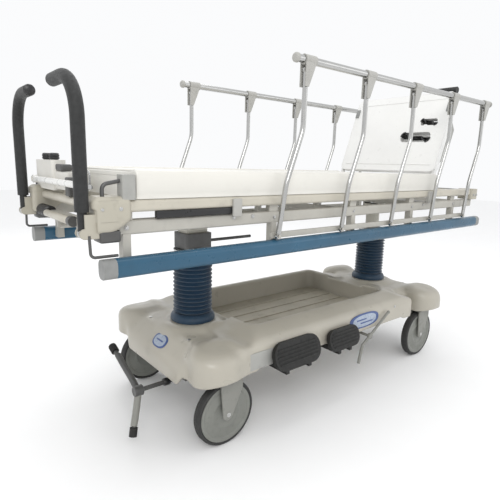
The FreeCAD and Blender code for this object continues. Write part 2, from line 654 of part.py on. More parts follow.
def rail_post(x, first):
    """Near-side post: cranked tube with a pivot eye at each end."""
    y, z0, z1 = -POST_Y, POST_FOOT_Z, POST_HEAD_Z
    head_x = x + POST_LEAN
    bar = pipe([(x, y, z0 + 8), (x + 28, y, 925), (head_x, y, 1110), (head_x, y, z1 - 4)], POST_R, 130)
    post = fuse([
        bar,
        rod((x, y - 5, z0), (x, y + 5, z0), 11),
        rod((head_x, y - 5, z1), (head_x, y + 5, z1), 11),
    ])
    head_hole = PIN_R + RUN_FIT if first else PIN_R + 1
    post = post.cut(rod((x, y - 12, z0), (x, y + 12, z0), PIN_R + RUN_FIT))
    return post.cut(rod((head_x, y - 12, z1), (head_x, y + 12, z1), head_hole))


def rail_top():
    start = POST_X[0] + POST_LEAN - TOP_OVERHANG[0]
    end = POST_X[-1] + POST_LEAN + TOP_OVERHANG[1]
    return tube((start, -POST_Y, TOP_TUBE_Z), (end, -POST_Y, TOP_TUBE_Z), TOP_TUBE_R, TOP_TUBE_R - 2)


def rail_knuckles():
    """Five saddles with triangular cheeks and pins, and the two end caps of the top tube."""
    y, z = POST_Y, POST_HEAD_Z
    pieces = []
    for foot_x in POST_X:
        x = foot_x + POST_LEAN
        parts = [rod((x - 13, -y, TOP_TUBE_Z), (x + 40, -y, TOP_TUBE_Z), TOP_TUBE_R + 4)]
        for y_low in (-y - CHEEK_GAP - CHEEK_T, -y + CHEEK_GAP):
            outline = [(x - 13, y_low, z - 55), (x + 4, y_low, z - 55), (x + 40, y_low, TOP_TUBE_Z),
                       (x - 13, y_low, TOP_TUBE_Z)]
            parts.append(prism(outline, (0, CHEEK_T, 0)))
        parts.append(rod((x, -y - CHEEK_GAP - 2, z), (x, -y + CHEEK_GAP + 2, z), PIN_R))
        knuckle = fuse(parts)
        pieces.append(knuckle.cut(rod((x - 20, -y, TOP_TUBE_Z), (x + 50, -y, TOP_TUBE_Z), TOP_TUBE_R)))
    start = POST_X[0] + POST_LEAN - TOP_OVERHANG[0]
    end = POST_X[-1] + POST_LEAN + TOP_OVERHANG[1]
    for x, step in ((start, -1), (end, 1)):
        cap = rod((x, -y, TOP_TUBE_Z), (x + step * 14, -y, TOP_TUBE_Z), TOP_TUBE_R + 3)
        rim = [e for e in cap.Edges if all(abs(v.X - x - step * 14) < 1e-6 for v in e.Vertexes)]
        pieces.append(cap.makeFillet(8, rim))
    return pieces


for swivel_x, end in zip(SWIVEL_X, ("foot", "head")):
    for side_y, side_name in ((-SWIVEL_Y, "near"), (SWIVEL_Y, "far")):
        tag = end + "_" + side_name
        save("caster_fork_" + tag, fork(swivel_x, side_y))
        save("wheel_disc_" + tag, wheel_disc(swivel_x - TRAIL, side_y))
        save("tyre_" + tag, tyre(swivel_x - TRAIL, side_y))
save("base_frame", base_frame())
save("base_hood_foot", hood(HOOD_END_X[0], WELL_X[0], LOBE_X[0], -COLUMN_X))
save("base_hood_head", hood(HOOD_END_X[1], WELL_X[1], LOBE_X[1], COLUMN_X))
save("base_sides", base_sides())
save("storage_tray", storage_tray())
save("jack_cylinders", [jack_cylinder(-COLUMN_X), jack_cylinder(COLUMN_X)])
save("bellows", [bellows(-COLUMN_X), bellows(COLUMN_X)])
save("brake_lever", brake_lever())
save("brake_pads", brake_pads())
raise_pedal = foot_pedal(RAISE_X, PAD_HEIGHT[0])
lower_pedal = foot_pedal(LOWER_X, PAD_HEIGHT[1])
save("pedal_raise_near", raise_pedal)
save("pedal_raise_far", far(raise_pedal))
save("pedal_lower_near", lower_pedal)
save("pedal_lower_far", far(lower_pedal))
save("side_lever", side_lever())
save("column_stages", column_stages())
save("foot_pivot", foot_pivot())
save("head_ram", head_ram())
save("litter_frame", litter_frame())
save("side_tubes", side_tubes())
save("deck", deck())
save("corner_castings", corner_castings())
save("bumpers", both(bumper()))
save("bumper_caps", bumper_caps())
save("head_bumper", head_bumper())
save("foot_end_box", foot_end_box())
save("rail_mounts", rail_mounts())
save("iv_pole", iv_pole())
save("iv_mast", iv_mast())
near_handle = push_handle()
save("push_handle_near", near_handle)
save("push_handle_far", [far(piece) for piece in near_handle])
save("backrest_panel", backrest_panel())
save("backrest_braces", backrest_braces())
save("backrest_cover", backrest_cover())
save("backrest_grip", backrest_grip())
for number, post_x in enumerate(POST_X):
    post = rail_post(post_x, number == 0)
    save("rail_post_near_%d" % (number + 1), post)
    save("rail_post_far_%d" % (number + 1), far(post))
save("rail_top_near", rail_top())
save("rail_top_far", far(rail_top()))
save("rail_knuckles_near", rail_knuckles())
save("rail_knuckles_far", [far(piece) for piece in rail_knuckles()])
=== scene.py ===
import bmesh
import bpy
import math
import numpy as np
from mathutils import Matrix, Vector


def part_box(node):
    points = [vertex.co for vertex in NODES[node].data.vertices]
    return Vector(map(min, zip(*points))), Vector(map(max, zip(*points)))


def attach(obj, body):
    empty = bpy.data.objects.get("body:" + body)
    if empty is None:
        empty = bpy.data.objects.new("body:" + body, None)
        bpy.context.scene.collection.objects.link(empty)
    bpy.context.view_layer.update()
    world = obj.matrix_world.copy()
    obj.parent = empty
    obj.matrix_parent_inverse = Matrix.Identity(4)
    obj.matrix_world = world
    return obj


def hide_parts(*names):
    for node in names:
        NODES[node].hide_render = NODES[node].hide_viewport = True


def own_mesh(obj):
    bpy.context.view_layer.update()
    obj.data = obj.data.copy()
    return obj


# Looks of a hospital stretcher trolley, in metres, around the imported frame.
# +X is the head end, -Y the near side. Moulded shapes are distance fields turned into meshes.

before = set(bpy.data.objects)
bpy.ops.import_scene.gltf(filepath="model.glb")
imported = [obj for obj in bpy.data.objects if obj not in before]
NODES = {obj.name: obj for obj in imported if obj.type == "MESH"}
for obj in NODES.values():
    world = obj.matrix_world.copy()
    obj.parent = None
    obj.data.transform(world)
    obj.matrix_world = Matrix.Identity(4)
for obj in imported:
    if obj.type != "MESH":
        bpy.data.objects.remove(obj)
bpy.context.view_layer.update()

CORNERS = [(end, side) for end in ("foot", "head") for side in ("near", "far")]


# ---- materials

GRAIN_HEIGHT = 0.0006
WEAVE_HEIGHT = 0.0005


def new_material(name):
    made = bpy.data.materials.new(name)
    made.use_nodes = True
    tree = made.node_tree
    tree.nodes.clear()
    shader = tree.nodes.new("ShaderNodeBsdfPrincipled")
    output = tree.nodes.new("ShaderNodeOutputMaterial")
    tree.links.new(shader.outputs["BSDF"], output.inputs["Surface"])
    return made, tree, shader


def noise(tree, place, scale, detail=4.0, stretch=None):
    """Noise in object space; stretch squeezes it along an axis for brushed or rolled surfaces."""
    made = tree.nodes.new("ShaderNodeTexNoise")
    made.inputs["Scale"].default_value = scale
    made.inputs["Detail"].default_value = detail
    if stretch:
        mapping = tree.nodes.new("ShaderNodeMapping")
        mapping.inputs["Scale"].default_value = stretch
        tree.links.new(place, mapping.inputs["Vector"])
        place = mapping.outputs["Vector"]
    tree.links.new(place, made.inputs["Vector"])
    return made.outputs["Fac"]


def mixed(tree, factor, first, second):
    made = tree.nodes.new("ShaderNodeMix")
    made.data_type = "RGBA"
    for key, value in (("A", first), ("B", second)):
        if isinstance(value, tuple):
            made.inputs[key].default_value = (*value, 1.0)
        else:
            tree.links.new(value, made.inputs[key])
    tree.links.new(factor, made.inputs["Factor"])
    return made.outputs["Result"]


def ranged(tree, value, low_in, high_in, low_out, high_out):
    made = tree.nodes.new("ShaderNodeMapRange")
    limits = {"From Min": low_in, "From Max": high_in, "To Min": low_out, "To Max": high_out}
    for key, number in limits.items():
        made.inputs[key].default_value = number
    tree.links.new(value, made.inputs["Value"])
    return made.outputs["Result"]


def combined(tree, operation, first, second):
    made = tree.nodes.new("ShaderNodeMath")
    made.operation = operation
    tree.links.new(first, made.inputs[0])
    tree.links.new(second, made.inputs[1])
    return made.outputs["Value"]


def bumped(tree, shader, height, strength, distance):
    made = tree.nodes.new("ShaderNodeBump")
    made.inputs["Strength"].default_value = strength
    made.inputs["Distance"].default_value = distance
    tree.links.new(height, made.inputs["Height"])
    tree.links.new(made.outputs["Normal"], shader.inputs["Normal"])
    return made


def edge_mask(tree, radius):
    """1 on convex and concave edges, 0 on flats: how far the rounded normal leans off the true one."""
    bevel = tree.nodes.new("ShaderNodeBevel")
    bevel.samples = 4
    bevel.inputs["Radius"].default_value = radius
    geometry = tree.nodes.new("ShaderNodeNewGeometry")
    dot = tree.nodes.new("ShaderNodeVectorMath")
    dot.operation = "DOT_PRODUCT"
    tree.links.new(bevel.outputs["Normal"], dot.inputs[0])
    tree.links.new(geometry.outputs["Normal"], dot.inputs[1])
    return ranged(tree, dot.outputs["Value"], 0.995, 0.75, 0.0, 1.0), bevel.outputs["Normal"]


def finish(name, colour, rough, metal=0.0, tint=0.12, tint_scale=6.0, grain=400.0, grain_depth=0.15,
           stretch=None, round_edge=0.0012, wear=None, wear_amount=0.5, dirt=0.1, coat=0.0, sheen=0.0):
    """A surface with slow colour drift, smudged roughness, fine grain, rounded edges and edge wear."""
    made, tree, shader = new_material(name)
    place = tree.nodes.new("ShaderNodeTexCoord").outputs["Object"]
    drift = noise(tree, place, tint_scale, 5.0)
    smudge = noise(tree, place, tint_scale * 4.3, 6.0, stretch)
    fine = noise(tree, place, grain, 3.0, stretch)
    darker = tuple(c * (1.0 - tint) for c in colour)
    paint = mixed(tree, ranged(tree, drift, 0.3, 0.7, 0.0, 1.0), darker, colour)
    grime = tuple(c * 0.45 for c in colour)
    paint = mixed(tree, ranged(tree, smudge, 0.56, 0.8, 0.0, dirt), paint, grime)
    mask, soft_normal = edge_mask(tree, round_edge)
    if wear:
        worn = ranged(tree, smudge, 0.42, 0.62, 0.0, wear_amount)
        paint = mixed(tree, combined(tree, "MULTIPLY", mask, worn), paint, wear)
    tree.links.new(paint, shader.inputs["Base Color"])
    tree.links.new(ranged(tree, smudge, 0.3, 0.7, max(rough - 0.08, 0.03), min(rough + 0.12, 1.0)),
                   shader.inputs["Roughness"])
    shader.inputs["Metallic"].default_value = metal
    shader.inputs["Coat Weight"].default_value = coat
    shader.inputs["Sheen Weight"].default_value = sheen
    bump = bumped(tree, shader, fine, grain_depth, GRAIN_HEIGHT)
    tree.links.new(soft_normal, bump.inputs["Normal"])
    return made


def woven(name, colour, rough, pitch):
    """Coated fabric: two crossed waves make a fine weave under a dull coating."""
    made, tree, shader = new_material(name)
    place = tree.nodes.new("ShaderNodeTexCoord").outputs["Object"]
    drift = noise(tree, place, 7.0, 5.0)
    dust = noise(tree, place, 60.0, 6.0)
    paint = mixed(tree, ranged(tree, drift, 0.3, 0.7, 0.0, 1.0), tuple(c * 0.62 for c in colour), colour)
    paint = mixed(tree, ranged(tree, dust, 0.55, 0.85, 0.0, 0.35), paint, (0.05, 0.10, 0.15))
    tree.links.new(paint, shader.inputs["Base Color"])
    tree.links.new(ranged(tree, dust, 0.3, 0.7, rough - 0.1, rough + 0.1), shader.inputs["Roughness"])
    heights = []
    for axis in ("X", "Z"):
        wave = tree.nodes.new("ShaderNodeTexWave")
        wave.bands_direction = axis
        wave.inputs["Scale"].default_value = 1.0 / (pitch * 20.0)
        tree.links.new(place, wave.inputs["Vector"])
        heights.append(wave.outputs["Fac"])
    bumped(tree, shader, combined(tree, "ADD", *heights), 0.35, WEAVE_HEIGHT)
    shader.inputs["Sheen Weight"].default_value = 0.2
    return made


BASE_CREAM = finish("base_cream", (0.43, 0.405, 0.345), 0.34, tint=0.10, tint_scale=3.0, grain=260.0,
                    grain_depth=0.08, round_edge=0.003, wear=(0.72, 0.70, 0.64), dirt=0.22, coat=0.15)
TRAY_CREAM = finish("tray_cream", (0.40, 0.37, 0.30), 0.5, tint=0.2, grain=300.0, dirt=0.45)
PANEL_GREY = finish("panel_grey", (0.36, 0.36, 0.34), 0.5, grain=500.0, grain_depth=0.3, dirt=0.2)
DECK_WHITE = finish("deck_white", (0.72, 0.705, 0.655), 0.36, tint=0.05, tint_scale=4.0, grain=240.0,
                    grain_depth=0.10, round_edge=0.003, wear=(0.62, 0.60, 0.54), dirt=0.10)
BACK_WHITE = finish("back_white", (0.78, 0.78, 0.765), 0.34, tint=0.04, grain=240.0, grain_depth=0.10,
                    round_edge=0.003, wear=(0.62, 0.62, 0.60), dirt=0.06)
TUBE_BEIGE = finish("tube_beige", (0.52, 0.49, 0.415), 0.35, tint=0.08, grain=180.0, grain_depth=0.08,
                    wear=(0.42, 0.41, 0.39), dirt=0.3, coat=0.1)
FRAME_GREY = finish("frame_grey", (0.47, 0.455, 0.41), 0.42, tint=0.15, grain=220.0, wear=(0.55, 0.54, 0.52),
                    dirt=0.35)
CHASSIS = finish("chassis_paint", (0.13, 0.13, 0.125), 0.5, tint=0.2, grain=200.0, wear=(0.4, 0.39, 0.37),
                 dirt=0.4)
CASTING = finish("casting_beige", (0.44, 0.415, 0.345), 0.42, tint=0.10, grain=150.0, grain_depth=0.25,
                 round_edge=0.004, wear=(0.40, 0.39, 0.36), dirt=0.35)
CHROME = finish("chrome", (0.50, 0.50, 0.49), 0.17, metal=1.0, tint=0.06, grain=900.0, grain_depth=0.05,
                dirt=0.2)
BRUSHED = finish("brushed_steel", (0.55, 0.55, 0.54), 0.30, metal=1.0, tint=0.08, grain=700.0,
                 grain_depth=0.15, dirt=0.3)
DARK_STEEL = finish("dark_steel", (0.11, 0.11, 0.108), 0.38, metal=0.6, grain=300.0, wear=(0.4, 0.4, 0.4),
                    dirt=0.2)
CYLINDER = finish("cylinder_black", (0.025, 0.026, 0.028), 0.32, tint=0.2, grain=300.0, wear=(0.2, 0.2, 0.2),
                  dirt=0.2, coat=0.3)
BUMPER_BLUE = finish("bumper_blue", (0.017, 0.092, 0.165), 0.30, tint=0.22, tint_scale=5.0, grain=320.0,
                     grain_depth=0.12, round_edge=0.003, wear=(0.12, 0.24, 0.32), dirt=0.25, coat=0.1)
CAP_GREY = finish("cap_grey", (0.25, 0.255, 0.25), 0.45, tint=0.1, grain=380.0, wear=(0.6, 0.6, 0.58),
                  dirt=0.35)
WHEEL_GREY = finish("wheel_grey", (0.20, 0.205, 0.185), 0.42, tint=0.12, tint_scale=14.0, grain=500.0,
                    grain_depth=0.12, wear=(0.35, 0.35, 0.33), dirt=0.4)
FORK_GREY = finish("fork_grey", (0.235, 0.235, 0.213), 0.40, tint=0.1, tint_scale=10.0, grain=260.0,
                   wear=(0.25, 0.25, 0.24), dirt=0.4)
TYRE = finish("tyre_rubber", (0.030, 0.030, 0.029), 0.68, tint=0.25, tint_scale=20.0, grain=600.0,
              grain_depth=0.4, dirt=0.0, wear=(0.12, 0.12, 0.11))
RUBBER = finish("pedal_rubber", (0.011, 0.011, 0.010), 0.58, tint=0.25, tint_scale=18.0, grain=500.0,
                grain_depth=0.4, wear=(0.06, 0.06, 0.055), wear_amount=0.6, dirt=0.0)
FOAM = finish("grip_foam", (0.017, 0.018, 0.018), 0.60, tint=0.3, tint_scale=25.0, grain=900.0,
              grain_depth=0.9, wear=(0.06, 0.06, 0.06), dirt=0.0, sheen=0.08)
KNOB = finish("knob_black", (0.018, 0.018, 0.019), 0.33, tint=0.2, grain=400.0, wear=(0.15, 0.15, 0.15),
              dirt=0.0)
KNUCKLE = finish("knuckle_cream", (0.40, 0.395, 0.37), 0.38, tint=0.08, grain=300.0, wear=(0.35, 0.35, 0.33),
                 dirt=0.25)
POLE_WHITE = finish("pole_white", (0.78, 0.78, 0.76), 0.3, tint=0.05, grain=300.0, wear=(0.4, 0.4, 0.4),
                    dirt=0.15, coat=0.2)
COLUMN_CREAM = finish("column_cream", (0.58, 0.56, 0.49), 0.38, tint=0.08, grain=240.0,
                      wear=(0.35, 0.34, 0.31), dirt=0.3)
BADGE_BLUE = finish("badge_blue", (0.055, 0.095, 0.25), 0.3, tint=0.1, grain=500.0, dirt=0.1)
BADGE_FACE = finish("badge_face", (0.36, 0.42, 0.52), 0.28, tint=0.12, tint_scale=30.0,
                    grain=500.0, dirt=0.2)
BELLOWS_NAVY = woven("bellows_navy", (0.005, 0.036, 0.078), 0.52, 0.0014)


# ---- mesh helpers

def add_mesh(name, vertices, faces, material, smooth=True):
    mesh = bpy.data.meshes.new(name)
    mesh.from_pydata([tuple(v) for v in vertices], [], [tuple(int(i) for i in f) for f in faces])
    mesh.materials.append(material)
    mesh.validate()
    mesh.polygons.foreach_set("use_smooth", [smooth] * len(mesh.polygons))
    piece = bpy.data.objects.new(name, mesh)
    bpy.context.scene.collection.objects.link(piece)
    return piece


def crease(piece, degrees):
    """Keep edges sharper than this angle crisp."""
    piece.data.set_sharp_from_angle(angle=math.radians(degrees))
    return piece


def lathe(name, profile, centre, axis, material, turns=64, sharp=35.0):
    """Turn an (along, radius) profile about an axis; points on the axis close the ends."""
    along = {"x": Vector((1, 0, 0)), "y": Vector((0, 1, 0)), "z": Vector((0, 0, 1))}[axis]
    first = {"x": Vector((0, 1, 0)), "y": Vector((0, 0, 1)), "z": Vector((1, 0, 0))}[axis]
    second = along.cross(first)
    middle = Vector(centre)
    vertices = []
    rings = []
    for distance, radius in profile:
        if radius < 1e-6:
            rings.append([len(vertices)])
            vertices.append(middle + along * distance)
            continue
        ring = []
        for turn in range(turns):
            angle = 2 * math.pi * turn / turns
            ring.append(len(vertices))
            vertices.append(middle + along * distance
                            + (first * math.cos(angle) + second * math.sin(angle)) * radius)
        rings.append(ring)
    faces = []
    for low, high in zip(rings, rings[1:]):
        for turn in range(turns):
            after = (turn + 1) % turns
            if len(low) == 1:
                faces.append((low[0], high[after], high[turn]))
            elif len(high) == 1:
                faces.append((low[turn], low[after], high[0]))
            else:
                faces.append((low[turn], low[after], high[after], high[turn]))
    return crease(add_mesh(name, vertices, faces, material), sharp)


def closed_lathe(name, profile, centre, axis, material, turns=64, sharp=35.0):
    """Ring-shaped lathe: the profile is a loop that doesn't touch the axis."""
    return lathe(name, profile + [profile[0]], centre, axis, material, turns, sharp)


def rounded_prism(name, outline, depth, place, material, bevel):
    """Flat outline pushed through a depth, with bevelled edges. place puts (u, v, w) in the frame."""
    count = len(outline)
    vertices = [place(u, v, 0.0) for u, v in outline] + [place(u, v, depth) for u, v in outline]
    faces = [tuple(range(count)), tuple(range(2 * count - 1, count - 1, -1))]
    for i in range(count):
        after = (i + 1) % count
        faces.append((i, i + count, after + count, after))
    piece = add_mesh(name, vertices, faces, material)
    return soften(piece, bevel)


def soften(piece, width, segments=3):
    """Bevel a piece's edges for good."""
    mesh = bmesh.new()
    mesh.from_mesh(piece.data)
    bmesh.ops.recalc_face_normals(mesh, faces=mesh.faces)
    sharp = [e for e in mesh.edges if e.is_manifold and e.calc_face_angle(0) > math.radians(25)]
    bmesh.ops.bevel(mesh, geom=sharp, offset=width, segments=segments, profile=0.5, affect="EDGES",
                    clamp_overlap=True)
    for face in mesh.faces:
        face.smooth = True
    mesh.to_mesh(piece.data)
    mesh.free()
    return crease(piece, 40.0)


def turned(outline, flip):
    """An outline the other way round where the face looks the other way."""
    return outline[::-1] if flip else outline


def rect(u, v):
    """Corners of a rectangle given by (low, high) pairs."""
    return [(u[0], v[0]), (u[1], v[0]), (u[1], v[1]), (u[0], v[1])]


def rounded_box(name, low, high, material, bevel):
    (x0, y0, z0), (x1, y1, z1) = low, high
    outline = rect((x0, x1), (y0, y1))
    return rounded_prism(name, outline, z1 - z0, lambda u, v, w: (u, v, z0 + w), material, bevel)


def side_box(name, sign, low, high, material, bevel):
    """Rounded box written for the far side and put on the side of the sign."""
    low_y, high_y = sorted((sign * low[1], sign * high[1]))
    return rounded_box(name, (low[0], low_y, low[2]), (high[0], high_y, high[2]), material, bevel)


def sweep(name, points, radius, material, sides=16):
    """Round bar along a list of points, with its own mesh."""
    pts = [Vector(p) for p in points]
    vertices = []
    previous = None
    for i, point in enumerate(pts):
        forward = (pts[min(i + 1, len(pts) - 1)] - pts[max(i - 1, 0)]).normalized()
        if previous is None:
            helper = Vector((0, 0, 1)) if abs(forward.z) < 0.9 else Vector((1, 0, 0))
            previous = forward.cross(helper).normalized()
        side = (previous - forward * previous.dot(forward)).normalized()
        previous = side
        up = forward.cross(side)
        for k in range(sides):
            angle = 2 * math.pi * k / sides
            vertices.append(point + (side * math.cos(angle) + up * math.sin(angle)) * radius)
    faces = []
    for i in range(len(pts) - 1):
        for k in range(sides):
            after = (k + 1) % sides
            faces.append((i * sides + k, i * sides + after, (i + 1) * sides + after, (i + 1) * sides + k))
    faces.append(tuple(range(sides - 1, -1, -1)))
    faces.append(tuple((len(pts) - 1) * sides + k for k in range(sides)))
    return crease(add_mesh(name, vertices, faces, material), 50.0)


def joined(name, pieces):
    """One mesh from several, keeping their materials."""
    merged = bmesh.new()
    slots = []
    for piece in pieces:
        part = piece.data
        offset = {}
        for number, material in enumerate(part.materials):
            if material not in slots:
                slots.append(material)
            offset[number] = slots.index(material)
        for polygon in part.polygons:
            polygon.material_index = offset[polygon.material_index]
        merged.from_mesh(part)
        bpy.data.objects.remove(piece)
    mesh = bpy.data.meshes.new(name)
    merged.to_mesh(mesh)
    merged.free()
    for material in slots:
        mesh.materials.append(material)
    whole = bpy.data.objects.new(name, mesh)
    bpy.context.scene.collection.objects.link(whole)
    return whole


# ---- distance fields

def f_box(p, low, high, radius):
    """Signed distance to a box with rounded edges."""
    low = np.array(low)
    high = np.array(high)
    q = np.abs(p - (low + high) / 2) - (high - low) / 2 + radius
    return np.linalg.norm(np.maximum(q, 0), axis=1) + np.minimum(q.max(1), 0) - radius


def f_lobe(p, start, end, radius, low, high, crown):
    """Upright stadium between two plan points, with a crowned top."""
    a = np.array(start)
    d = np.array(end) - a
    t = np.clip(((p[:, :2] - a) @ d) / max(d @ d, 1e-12), 0, 1)
    flat = np.linalg.norm(p[:, :2] - a - t[:, None] * d, axis=1) - radius
    tall = np.abs(p[:, 2] - (low + high) / 2) - (high - low) / 2
    q = np.stack([flat + crown, tall + crown], 1)
    return np.linalg.norm(np.maximum(q, 0), axis=1) + np.minimum(q.max(1), 0) - crown


def union(a, b, k):
    h = np.clip(0.5 + 0.5 * (b - a) / k, 0, 1)
    return b * (1 - h) + a * h - k * h * (1 - h)


def minus(a, b, k):
    return -union(-a, b, k)


def both_of(a, b, k):
    return -union(-a, -b, k)


def step(value, low, high):
    t = np.clip((value - low) / (high - low), 0, 1)
    return t * t * (3 - 2 * t)


def surface(name, field, low, high, cell, material):
    """Surface-nets mesh of a distance field: one vertex in each mixed cell, then pulled onto the surface."""
    axes = [np.arange(low[i] - 2 * cell, high[i] + 3 * cell, cell) for i in range(3)]
    shape = tuple(len(a) for a in axes)
    grid = np.stack(np.meshgrid(*axes, indexing="ij"), -1).reshape(-1, 3)
    value = field(grid).reshape(shape)
    cells = tuple(n - 1 for n in shape)
    total = np.zeros(cells + (3,))
    count = np.zeros(cells)
    corners = [(i, j, k) for i in (0, 1) for j in (0, 1) for k in (0, 1)]

    def corner(c):
        return value[c[0]:c[0] + cells[0], c[1]:c[1] + cells[1], c[2]:c[2] + cells[2]]

    for a in corners:
        for axis in range(3):
            if a[axis]:
                continue
            b = tuple(a[i] + (i == axis) for i in range(3))
            va, vb = corner(a), corner(b)
            mixed_signs = (va < 0) != (vb < 0)
            t = np.where(mixed_signs, va / np.where(mixed_signs, va - vb, 1), 0)
            for i in range(3):
                total[..., i] += mixed_signs * (a[i] + t * (i == axis))
            count += mixed_signs
    active = count > 0
    number = np.full(cells, -1)
    number[active] = np.arange(active.sum())
    where = np.argwhere(active)
    points = (where + total[active] / count[active][:, None]) * cell + np.array([a[0] for a in axes])
    for _ in range(2):
        now = field(points)
        slope = np.zeros_like(points)
        for i in range(3):
            nudge = np.zeros(3)
            nudge[i] = cell * 0.2
            slope[:, i] = (field(points + nudge) - field(points - nudge)) / (cell * 0.4)
        size = np.maximum((slope ** 2).sum(1), 0.25)
        points -= slope * np.clip(now / size, -0.6 * cell, 0.6 * cell)[:, None]
    faces = []
    inside = value < 0
    for axis in range(3):
        b, c = [(1, 2), (2, 0), (0, 1)][axis]
        one = np.moveaxis(inside, axis, 0)
        flips = np.moveaxis(one[:-1] != one[1:], 0, axis)
        spots = np.argwhere(flips)
        good = (spots[:, b] > 0) & (spots[:, c] > 0) & (spots[:, b] < cells[b]) & (spots[:, c] < cells[c])
        spots = spots[good]
        start_in = inside[tuple(spots.T)]
        ring = []
        for db, dc in ((-1, -1), (0, -1), (0, 0), (-1, 0)):
            s = spots.copy()
            s[:, b] += db
            s[:, c] += dc
            ring.append(number[tuple(s.T)])
        quads = np.stack(ring, 1)
        quads[~start_in] = quads[~start_in][:, ::-1]
        faces.append(quads)
    return crease(add_mesh(name, points, np.concatenate(faces), material), 55.0)


# ---- base cover

hood_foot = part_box("base_hood_foot")
hood_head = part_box("base_hood_head")
sides_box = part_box("base_sides")
BELLOWS_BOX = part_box("bellows")
COLUMN_X = (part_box("head_ram")[0].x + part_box("head_ram")[1].x) / 2
LOBE_R = 0.082                  # plan radius of the cover over a caster
LOBE_Y = 0.298
LOBE_X = (0.692, 0.668)         # outer and inner centres of that cover
LOBE_TOP = hood_foot[1].z
WELL = (sides_box[0].x, sides_box[1].x)
WELL_Y = 0.245
RIM_Z = sides_box[1].z
SIDE_Y = sides_box[1].y
SHELL = 0.010
SKIRT_LOW = hood_foot[0].z
COVER_LOW = 0.250
END_LEAN = (0.72, 0.694)        # outward and upward parts of the leaning end walls
END_LEAN_Z = 0.278
COVER_CELL = 0.006
DEEP = -0.2                     # shapes that are open below run down to here
HOOD_TOP = 0.352                # flat top of both hoods
HOOD_Y = 0.235                  # half width of the hoods between their lobes
LOBE_CROWN = 0.050
RIM_TOP = 0.374                 # top of the end rims of the well
RIM_LOW = 0.30
MEET = 0.02                     # length over which the end walls meet the hood tops


def end_wall(outwards, z):
    """Distance past an end wall that leans back above its skirt."""
    return END_LEAN[0] * outwards + END_LEAN[1] * (z - END_LEAN_Z)


def cover_outside(p):
    """Outer shape of the base cover, open downwards; near and far sides are alike."""
    foot = f_lobe(p, (-LOBE_X[0], LOBE_Y), (-LOBE_X[1], LOBE_Y), LOBE_R, DEEP, LOBE_TOP, LOBE_CROWN)
    head = f_lobe(p, (LOBE_X[0], LOBE_Y), (LOBE_X[1], LOBE_Y), LOBE_R, DEEP, LOBE_TOP, LOBE_CROWN)
    foot_block = f_box(p, (hood_foot[0].x + 0.002, -1, DEEP), (WELL[0] - 0.002, HOOD_Y, HOOD_TOP), 0.045)
    head_block = f_box(p, (WELL[1] + 0.002, -1, DEEP), (hood_head[1].x - 0.002, HOOD_Y, HOOD_TOP), 0.045)
    # the covers over the casters slope down and outwards
    fall = (p[:, 1] - LOBE_Y + 0.03) * 0.30 + (p[:, 2] - LOBE_TOP + 0.004) * 0.954
    foot = both_of(foot, fall, 0.05)
    head = both_of(head, fall, 0.05)
    # the end walls lean back above the skirts
    foot_block = both_of(foot_block, end_wall(hood_foot[0].x - p[:, 0], p[:, 2]), MEET)
    head_block = both_of(head_block, end_wall(p[:, 0] - hood_head[1].x, p[:, 2]), MEET)
    side = f_box(p, (WELL[0] - 0.12, 0.12, DEEP), (WELL[1] + 0.12, SIDE_Y, RIM_Z - 0.002), 0.016)
    slope = (p[:, 1] - 0.268) * 0.48 + (p[:, 2] - RIM_Z) * 0.88
    side = both_of(side, slope, 0.03)
    # the raised rim fades into the hoods at both ends of the well
    fade = np.minimum(step(p[:, 0], WELL[0] - 0.10, WELL[0] + 0.02),
                      step(-p[:, 0], -WELL[1] - 0.10, -WELL[1] + 0.02))
    side = both_of(side, p[:, 2] - (HOOD_TOP + (RIM_Z - HOOD_TOP) * fade), 0.012)
    shape = union(union(foot, foot_block, 0.055), union(head, head_block, 0.055), 0.01)
    shape = union(shape, side, 0.05)
    for x in (-COLUMN_X, COLUMN_X):
        collar = f_lobe(p, (x, 0.0), (x + 0.001, 0.0), 0.118, DEEP, 0.3645, 0.02)
        shape = union(shape, collar, 0.045)
    rim_y = WELL_Y + 0.012
    rim = f_box(p, (WELL[0] - 0.012, -1, RIM_LOW), (WELL[0] - 0.001, rim_y, RIM_TOP), 0.005)
    head_rim = f_box(p, (WELL[1] + 0.001, -1, RIM_LOW), (WELL[1] + 0.012, rim_y, RIM_TOP), 0.005)
    rim = union(rim, head_rim, 0.004)
    shape = union(shape, rim, 0.012)
    well = f_box(p, (WELL[0], -1, -1), (WELL[1], WELL_Y, 1), 0.045)
    return minus(shape, well, 0.012)


def cover(p):
    p = np.stack([p[:, 0], np.abs(p[:, 1]), p[:, 2]], 1)
    outer = cover_outside(p)
    shell = np.maximum(outer, -(outer + SHELL))
    x, y = p[:, 0], p[:, 1]
    in_well = step(x, WELL[0] - 0.06, WELL[0] - 0.02) * step(-x, -WELL[1] - 0.06, -WELL[1] - 0.02)
    inner = 1 - step(y, 0.285, 0.315)
    skirt = (step(-x, -hood_foot[0].x - 0.03, -hood_foot[0].x - 0.02)
             + step(x, hood_head[1].x - 0.03, hood_head[1].x - 0.02)) * (1 - step(y, 0.19, 0.225))
    lower = COVER_LOW + (0.2865 - COVER_LOW) * in_well * inner + 0.012 * in_well * (1 - inner)
    lower = lower - (COVER_LOW - SKIRT_LOW - 0.004) * skirt
    # the skirt under each lobe lifts towards the wheel in a shallow arch
    arch = np.exp(-(((y - 0.40) / 0.05) ** 2)) * 0.018
    shell = both_of(shell, lower + arch - p[:, 2], 0.004)
    for cx in (-COLUMN_X, COLUMN_X):
        away = np.hypot(x - cx, y)
        shell = minus(shell, away - 0.058, 0.004)
        shell = minus(shell, np.maximum(away - 0.094, 0.3702 - p[:, 2]), 0.003)
    return shell


